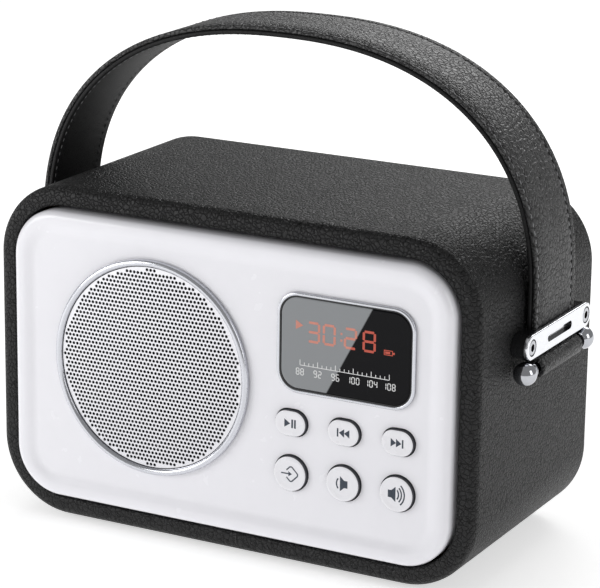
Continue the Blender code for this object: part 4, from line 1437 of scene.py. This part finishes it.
@dataclass
class Back:
    """The rear plate with its openings, the sockets, the slider and the screws."""

    paint: Paint
    corner: float = 22.0 * MM

    def build(self) -> list[bpy.types.Object]:
        """Build everything on the back."""
        pieces = [self.plate(), self.slider(), self.jack()]
        pieces += [self.socket(node, *mouth) for node, mouth in self.mouths().items()]
        pieces += [self.screw(number) for number in range(1, 5)]
        return pieces

    @staticmethod
    def mouths() -> dict[str, tuple[float, float, float]]:
        """Return the width and height of each socket's mouth, and its tongue's thickness."""
        return {
            "usb_socket": (12.6 * MM, 5.2 * MM, 1.8 * MM),
            "card_slot": (12.0 * MM, 1.6 * MM, 0.4 * MM),
            "charging_socket": (7.0 * MM, 2.4 * MM, 0.8 * MM),
        }

    def mirrored(self, x: float) -> float:
        """Return a world X as seen by a form that will be turned to face the back."""
        return -x

    def rearward(self, x: float, y: float, z: float) -> Matrix:
        """Return the turn and place that set a front-facing form on the back."""
        return Matrix.Translation((x, y, z)) @ Matrix.Rotation(math.pi, 4, "Z")

    def plate(self) -> bpy.types.Object:
        """Build the grained plate with a shallow frame round its edge."""
        low, high = extent("rear_panel")
        centre_z = (low.z + high.z) / 2
        form = Form("rear_plate")
        form.plate(high.x - low.x, high.z - low.z, 0, high.y - low.y, self.corner, 16)
        form.soften(FRONT, 0.5 * MM, 3)
        form.terrace(FRONT, [(4.5 * MM, 0), (0.3 * MM, -0.3 * MM), (0.5 * MM, 0)])
        holes = []
        for node in self.mouths():
            start, end = extent(node)
            spot = (start + end) / 2
            holes.append(Hole(
                self.mirrored(spot.x), spot.z - centre_z, end.x - start.x + 0.8 * MM,
                end.z - start.z + 0.8 * MM, 0.5 * MM,
            ))
        slider = middle("power_slider")
        slot_x = self.mirrored(slider.x + 2 * MM)
        holes.append(Hole(slot_x, slider.z - centre_z, 9.2 * MM, 4.2 * MM, 0.6 * MM))
        jack = middle("audio_jack")
        holes.append(Hole(self.mirrored(jack.x), jack.z - centre_z, 8.0 * MM, 0, round_steps=32))
        form.pierce(FRONT, holes, high.y - low.y)
        form.open(BACK)
        form.moved(self.rearward(0, high.y, centre_z))
        return form.dressed(self.paint.black, Slot.BLACK, replaces=["rear_panel"])

    def socket(self, node: str, width: float, height: float, tongue: float) -> bpy.types.Object:
        """Build one metal socket with its mouth and the tongue inside."""
        low, high = extent(node)
        deep = high.y - low.y
        form = Form(node + "_shell")
        form.plate(high.x - low.x, high.z - low.z, 0, deep, 0.6 * MM, 3)
        form.pierce(FRONT, [Hole(0, 0, width, height, 0.5 * MM)], deep - 1 * MM)
        inner = Form("tongue")
        inner.plate(width * 0.82, tongue, 0.8 * MM, deep - 0.2 * MM, 0)
        form.take(inner)
        centre = (low + high) / 2
        form.moved(self.rearward(centre.x, high.y, centre.z))
        return form.dressed(self.paint.steel, Slot.STEEL, replaces=[node])

    def jack(self) -> bpy.types.Object:
        """Build the round audio jack with its bore."""
        low, high = extent("audio_jack")
        deep = high.y - low.y
        form = Form("jack_barrel")
        form.turned([
            (0, 0.6 * MM), (1.8 * MM, 0.6 * MM), (1.8 * MM, deep - 0.4 * MM), (2.1 * MM, deep),
            (3.3 * MM, deep), (3.6 * MM, deep - 0.3 * MM), (3.6 * MM, 0), (0, 0),
        ], 40)
        centre = (low + high) / 2
        form.moved(self.rearward(centre.x, low.y, centre.z))
        return form.dressed(self.paint.gloss, Slot.BLACK, replaces=["audio_jack"])

    def slider(self) -> bpy.types.Object:
        """Build the slider's knob with three grip ribs."""
        low, high = extent("power_slider")
        form = Form("slider_knob")
        form.plate(high.x - low.x, high.z - low.z, 0, high.y - low.y, 0.4 * MM, 3)
        form.soften(FRONT, 0.25 * MM, 2)
        for shift in (-1.1, 0, 1.1):
            rib = Form("rib")
            rib.plate(0.4 * MM, 2.4 * MM, -0.2 * MM, 0.3 * MM, 0.15 * MM, 2)
            form.take(rib.moved(Matrix.Translation((shift * MM, 0, 0))))
        centre = (low + high) / 2
        form.moved(self.rearward(centre.x, high.y, centre.z))
        return form.dressed(self.paint.gloss, Slot.BLACK, "power_slider", ["power_slider"])

    def screw(self, number: int) -> bpy.types.Object:
        """Build one pan-head screw with a cross recess."""
        node = f"rear_screw_{number}"
        low, high = extent(node)
        form = Form(node + "_head")
        form.turned([
            (1.4 * MM, -5.5 * MM), (1.4 * MM, 0.35 * MM), (2.8 * MM, 0.35 * MM), (2.8 * MM, 0.8 * MM),
            (2.5 * MM, 1.15 * MM), (1.9 * MM, 1.4 * MM), (1.3 * MM, 1.48 * MM),
        ], 40)
        form.bm.normal_update()
        rim = [edge for edge in form.bm.edges if edge.is_boundary and edge.verts[0].co.y < 0]
        cross = [
            (0.25, 1.1), (-0.25, 1.1), (-0.25, 0.25), (-1.1, 0.25), (-1.1, -0.25), (-0.25, -0.25),
            (-0.25, -1.1), (0.25, -1.1), (0.25, -0.25), (1.1, -0.25), (1.1, 0.25), (0.25, 0.25),
        ]
        verts = [form.bm.verts.new((x * MM, -1.48 * MM, z * MM)) for x, z in cross]
        loop = [form.bm.edges.new(pair) for pair in zip(verts, verts[1:] + verts[:1])]
        bmesh.ops.triangle_fill(form.bm, use_beauty=True, edges=rim + loop, normal=FRONT)
        sunk = bmesh.ops.extrude_edge_only(form.bm, edges=loop)["geom"]
        deep = [item for item in sunk if isinstance(item, bmesh.types.BMVert)]
        bmesh.ops.translate(form.bm, vec=(0, 0.9 * MM, 0), verts=deep)
        floor = [item for item in sunk if isinstance(item, bmesh.types.BMEdge) and item.is_boundary]
        bmesh.ops.holes_fill(form.bm, edges=floor, sides=0)
        centre = (low + high) / 2
        form.moved(self.rearward(centre.x, high.y - 1.5 * MM, centre.z))
        return form.dressed(self.paint.steel, Slot.STEEL, replaces=[node])


@dataclass
class Aerial:
    """The folding aerial: a forked root and three sliding tubes."""

    paint: Paint
    tube: float = 2.4 * MM
    barrel: float = 3.1 * MM
    cheek: float = 1.15 * MM
    length: float = 103.5 * MM

    def build(self) -> list[bpy.types.Object]:
        """Build the three sections."""
        return [self.root(), self.middle(), self.tip()]

    def leftward(self) -> Matrix:
        """Return the turn that makes a form's forward direction run to the left from the pivot."""
        low, high = extent("aerial_section_1")
        pivot = Vector((high.x - self.barrel, (low.y + high.y) / 2, (low.z + high.z) / 2))
        return Matrix.Translation(pivot) @ Matrix.Rotation(math.radians(-90), 4, "Z")

    def root(self) -> bpy.types.Object:
        """Build the outer tube with the fork that straddles the foot's lug."""
        form = Form("aerial_outer_tube")
        form.turned([
            (0, 6.6 * MM), (2.6 * MM, 6.6 * MM), (self.barrel, 7.2 * MM), (self.barrel, 8.2 * MM),
            (self.tube, 9.2 * MM), (self.tube, self.length - 0.4 * MM), (2.2 * MM, self.length),
            (1.9 * MM, self.length), (1.9 * MM, self.length - 6 * MM),
        ], 40)
        for sign in (-1, 1):
            cheek = Form("cheek")
            cheek.plate(10.4 * MM, self.barrel * 2, 0, self.cheek, self.barrel * 0.9995, 10)
            cheek.soften(FRONT, 0.25 * MM, 2)
            lie = Matrix.Rotation(math.radians(-90 * sign), 4, "X")
            side = Matrix.Rotation(math.radians(90), 4, "Z")
            place = Matrix.Translation((0, -2.1 * MM, sign * self.barrel))
            form.take(cheek.moved(place @ side @ lie))
            pin = Form("pin")
            pin.turned([(0, 0.25 * MM), (0.9 * MM, 0.2 * MM), (1.1 * MM, 0), (1.1 * MM, -1 * MM)], 20)
            form.take(pin.moved(Matrix.Translation((0, 0, sign * self.barrel)) @ lie))
        form.moved(self.leftward())
        body = "aerial_section_1"
        return form.dressed(self.paint.chrome, Slot.CHROME, body, [body])

    def middle(self) -> bpy.types.Object:
        """Build the middle tube."""
        end = self.length + 3 * MM
        form = Form("aerial_middle_tube")
        form.turned([
            (0, 14 * MM), (1.6 * MM, 14 * MM), (1.6 * MM, end - 0.3 * MM), (1.4 * MM, end),
            (1.1 * MM, end), (1.1 * MM, end - 6 * MM),
        ], 32)
        form.moved(self.leftward())
        body = "aerial_section_2"
        return form.dressed(self.paint.chrome, Slot.CHROME, body, [body])

    def tip(self) -> bpy.types.Object:
        """Build the thin rod with its rounded tip."""
        end = self.length + 3.5 * MM
        form = Form("aerial_tip_rod")
        form.turned([
            (0, 20 * MM), (0.8 * MM, 20 * MM), (0.8 * MM, end), (1.9 * MM, end), (2.3 * MM, end + 0.4 * MM),
            (2.3 * MM, end + 4.4 * MM), *arc(0, end + 3.7 * MM, 2.3 * MM, 18, 90, 6),
        ], 32)
        form.moved(self.leftward())
        body = "aerial_section_3"
        return form.dressed(self.paint.chrome, Slot.CHROME, body, [body])


@dataclass
class Workings:
    """The parts that are shown as they come from the frame, each with its finish."""

    paint: Paint
    slots: dict[str, Slot] = field(default_factory=dict)

    def __post_init__(self) -> None:
        """List the nodes that keep their shape."""
        switches = [key.value + "_switch" for key in Key]
        groups = {
            Slot.BOARD: ["cabinet_shell"],
            Slot.CIRCUIT: ["main_board", "socket_board"],
            Slot.PAPER: ["speaker_cone"],
            Slot.RUBBER: ["speaker_surround"],
            Slot.WRAP: ["battery_cell"],
            Slot.STEEL: ["speaker_magnet", "power_switch_body"],
            Slot.BLACK: [
                "display_module", "battery_cradle",
                "speaker_basket", "aerial_foot", *switches,
            ],
        }
        for slot, nodes in groups.items():
            for node in nodes:
                self.slots[node] = slot
        for side in Side:
            self.slots[f"{side.word}_strap_bracket"] = Slot.BLACK

    def build(self) -> list[bpy.types.Object]:
        """Give every listed node its finish."""
        pieces = []
        for name, slot in self.slots.items():
            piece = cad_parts[name]
            piece.data.materials.clear()
            polished = name.endswith("_strap_bracket")
            piece.data.materials.append(self.paint.gloss if polished else self.paint.for_slot(slot))
            pieces.append(piece)
        return pieces


@dataclass
class Softbox:
    """A square studio light."""

    name: str
    place: Vector
    target: Vector
    width: float
    height: float
    watts: float

    def build(self) -> bpy.types.Object:
        """Hang the light and aim it."""
        lamp = bpy.data.lights.new(self.name, "AREA")
        lamp.shape = "RECTANGLE"
        lamp.size, lamp.size_y = self.width, self.height
        lamp.energy = self.watts
        light = bpy.data.objects.new(self.name, lamp)
        light.location = self.place
        light.rotation_euler = (self.target - self.place).to_track_quat("-Z", "Y").to_euler()
        bpy.context.scene.collection.objects.link(light)
        return light


@dataclass
class Studio:
    """The floor, the lights and the camera."""

    middle: Vector = field(default_factory=lambda: Vector((0, 0, 0.09)))
    sky: float = 0.34

    def build(self) -> None:
        """Set up the studio."""
        self.floor()
        self.lights()
        self.camera()
        bpy.context.scene.view_settings.view_transform = "Standard"

    def floor(self) -> None:
        """Lay the pale paper."""
        mesh = bpy.data.meshes.new("studio_floor")
        bm = bmesh.new()
        bmesh.ops.create_grid(bm, x_segments=1, y_segments=1, size=6)
        bm.to_mesh(mesh)
        bm.free()
        mesh.materials.append(StudioFloor("studio_paper", 0.55).made())
        paper = bpy.data.objects.new("studio_floor", mesh)
        bpy.context.scene.collection.objects.link(paper)

    def lights(self) -> None:
        """Hang the softboxes and set the even sky light."""
        world = bpy.data.worlds.new("studio_sky")
        world.use_nodes = True
        sky = world.node_tree.nodes["Background"]
        sky.inputs["Color"].default_value = (1, 1, 1, 1)
        sky.inputs["Strength"].default_value = self.sky
        bpy.context.scene.world = world
        boxes = [
            Softbox("key_light", Vector((-0.8, -0.7, 0.38)), self.middle, 0.6, 0.5, 4.6),
            Softbox("top_light", Vector((-0.1, 1.0, 0.8)), self.middle, 0.8, 0.5, 5.3),
            Softbox("side_light", Vector((1.3, -0.05, 0.55)), self.middle, 0.5, 0.8, 3.0),
        ]
        for box in boxes:
            box.build()

    def camera(self) -> None:
        """Set the camera at its measured place."""
        ahead = Vector((-0.4533, 0.8478, -0.2752)).normalized()
        right = ahead.cross(Vector((0, 0, 1))).normalized()
        up = right.cross(ahead)
        roll = 0.0134
        across = right * math.cos(roll) + up * math.sin(roll)
        rise = up * math.cos(roll) - right * math.sin(roll)
        data = bpy.data.cameras.new("studio_camera")
        data.sensor_width = 36
        data.lens = 166.29
        data.clip_start, data.clip_end = 0.05, 50
        camera = bpy.data.objects.new("studio_camera", data)
        turn = Matrix((across, rise, -ahead)).transposed().to_4x4()
        camera.matrix_world = Matrix.Translation((0.5012, -0.9337, 0.3958)) @ turn
        bpy.context.scene.collection.objects.link(camera)
        bpy.context.scene.camera = camera


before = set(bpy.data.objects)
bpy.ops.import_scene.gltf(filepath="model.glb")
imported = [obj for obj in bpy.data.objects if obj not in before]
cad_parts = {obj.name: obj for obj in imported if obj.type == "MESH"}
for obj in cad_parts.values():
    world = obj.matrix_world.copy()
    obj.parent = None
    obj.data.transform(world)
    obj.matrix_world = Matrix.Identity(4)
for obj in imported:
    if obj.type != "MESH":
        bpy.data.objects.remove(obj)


def main() -> None:
    """Build the radio part by part, then the studio."""
    logging.basicConfig(level=logging.INFO, format="%(name)s: %(message)s")
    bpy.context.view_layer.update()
    # the two points are the ends of the edge of the painted reflection on the display window
    paint = Paint(Vector((62.6 * MM, 0, 109.1 * MM)), Vector((44.4 * MM, 0, 74.6 * MM)))
    for assembly in (
        Workings(paint), Cabinet(paint), FrontPanel(paint), Speaker(paint), Display(paint),
        Keypad(paint), Strap(paint), SideFittings(paint), Back(paint), Aerial(paint),
    ):
        for piece in assembly.build():
            log.info("%s: %s, %d faces", type(assembly).__name__, piece.name, len(piece.data.polygons))
    Studio().build()


if __name__ == "__main__":
    main()
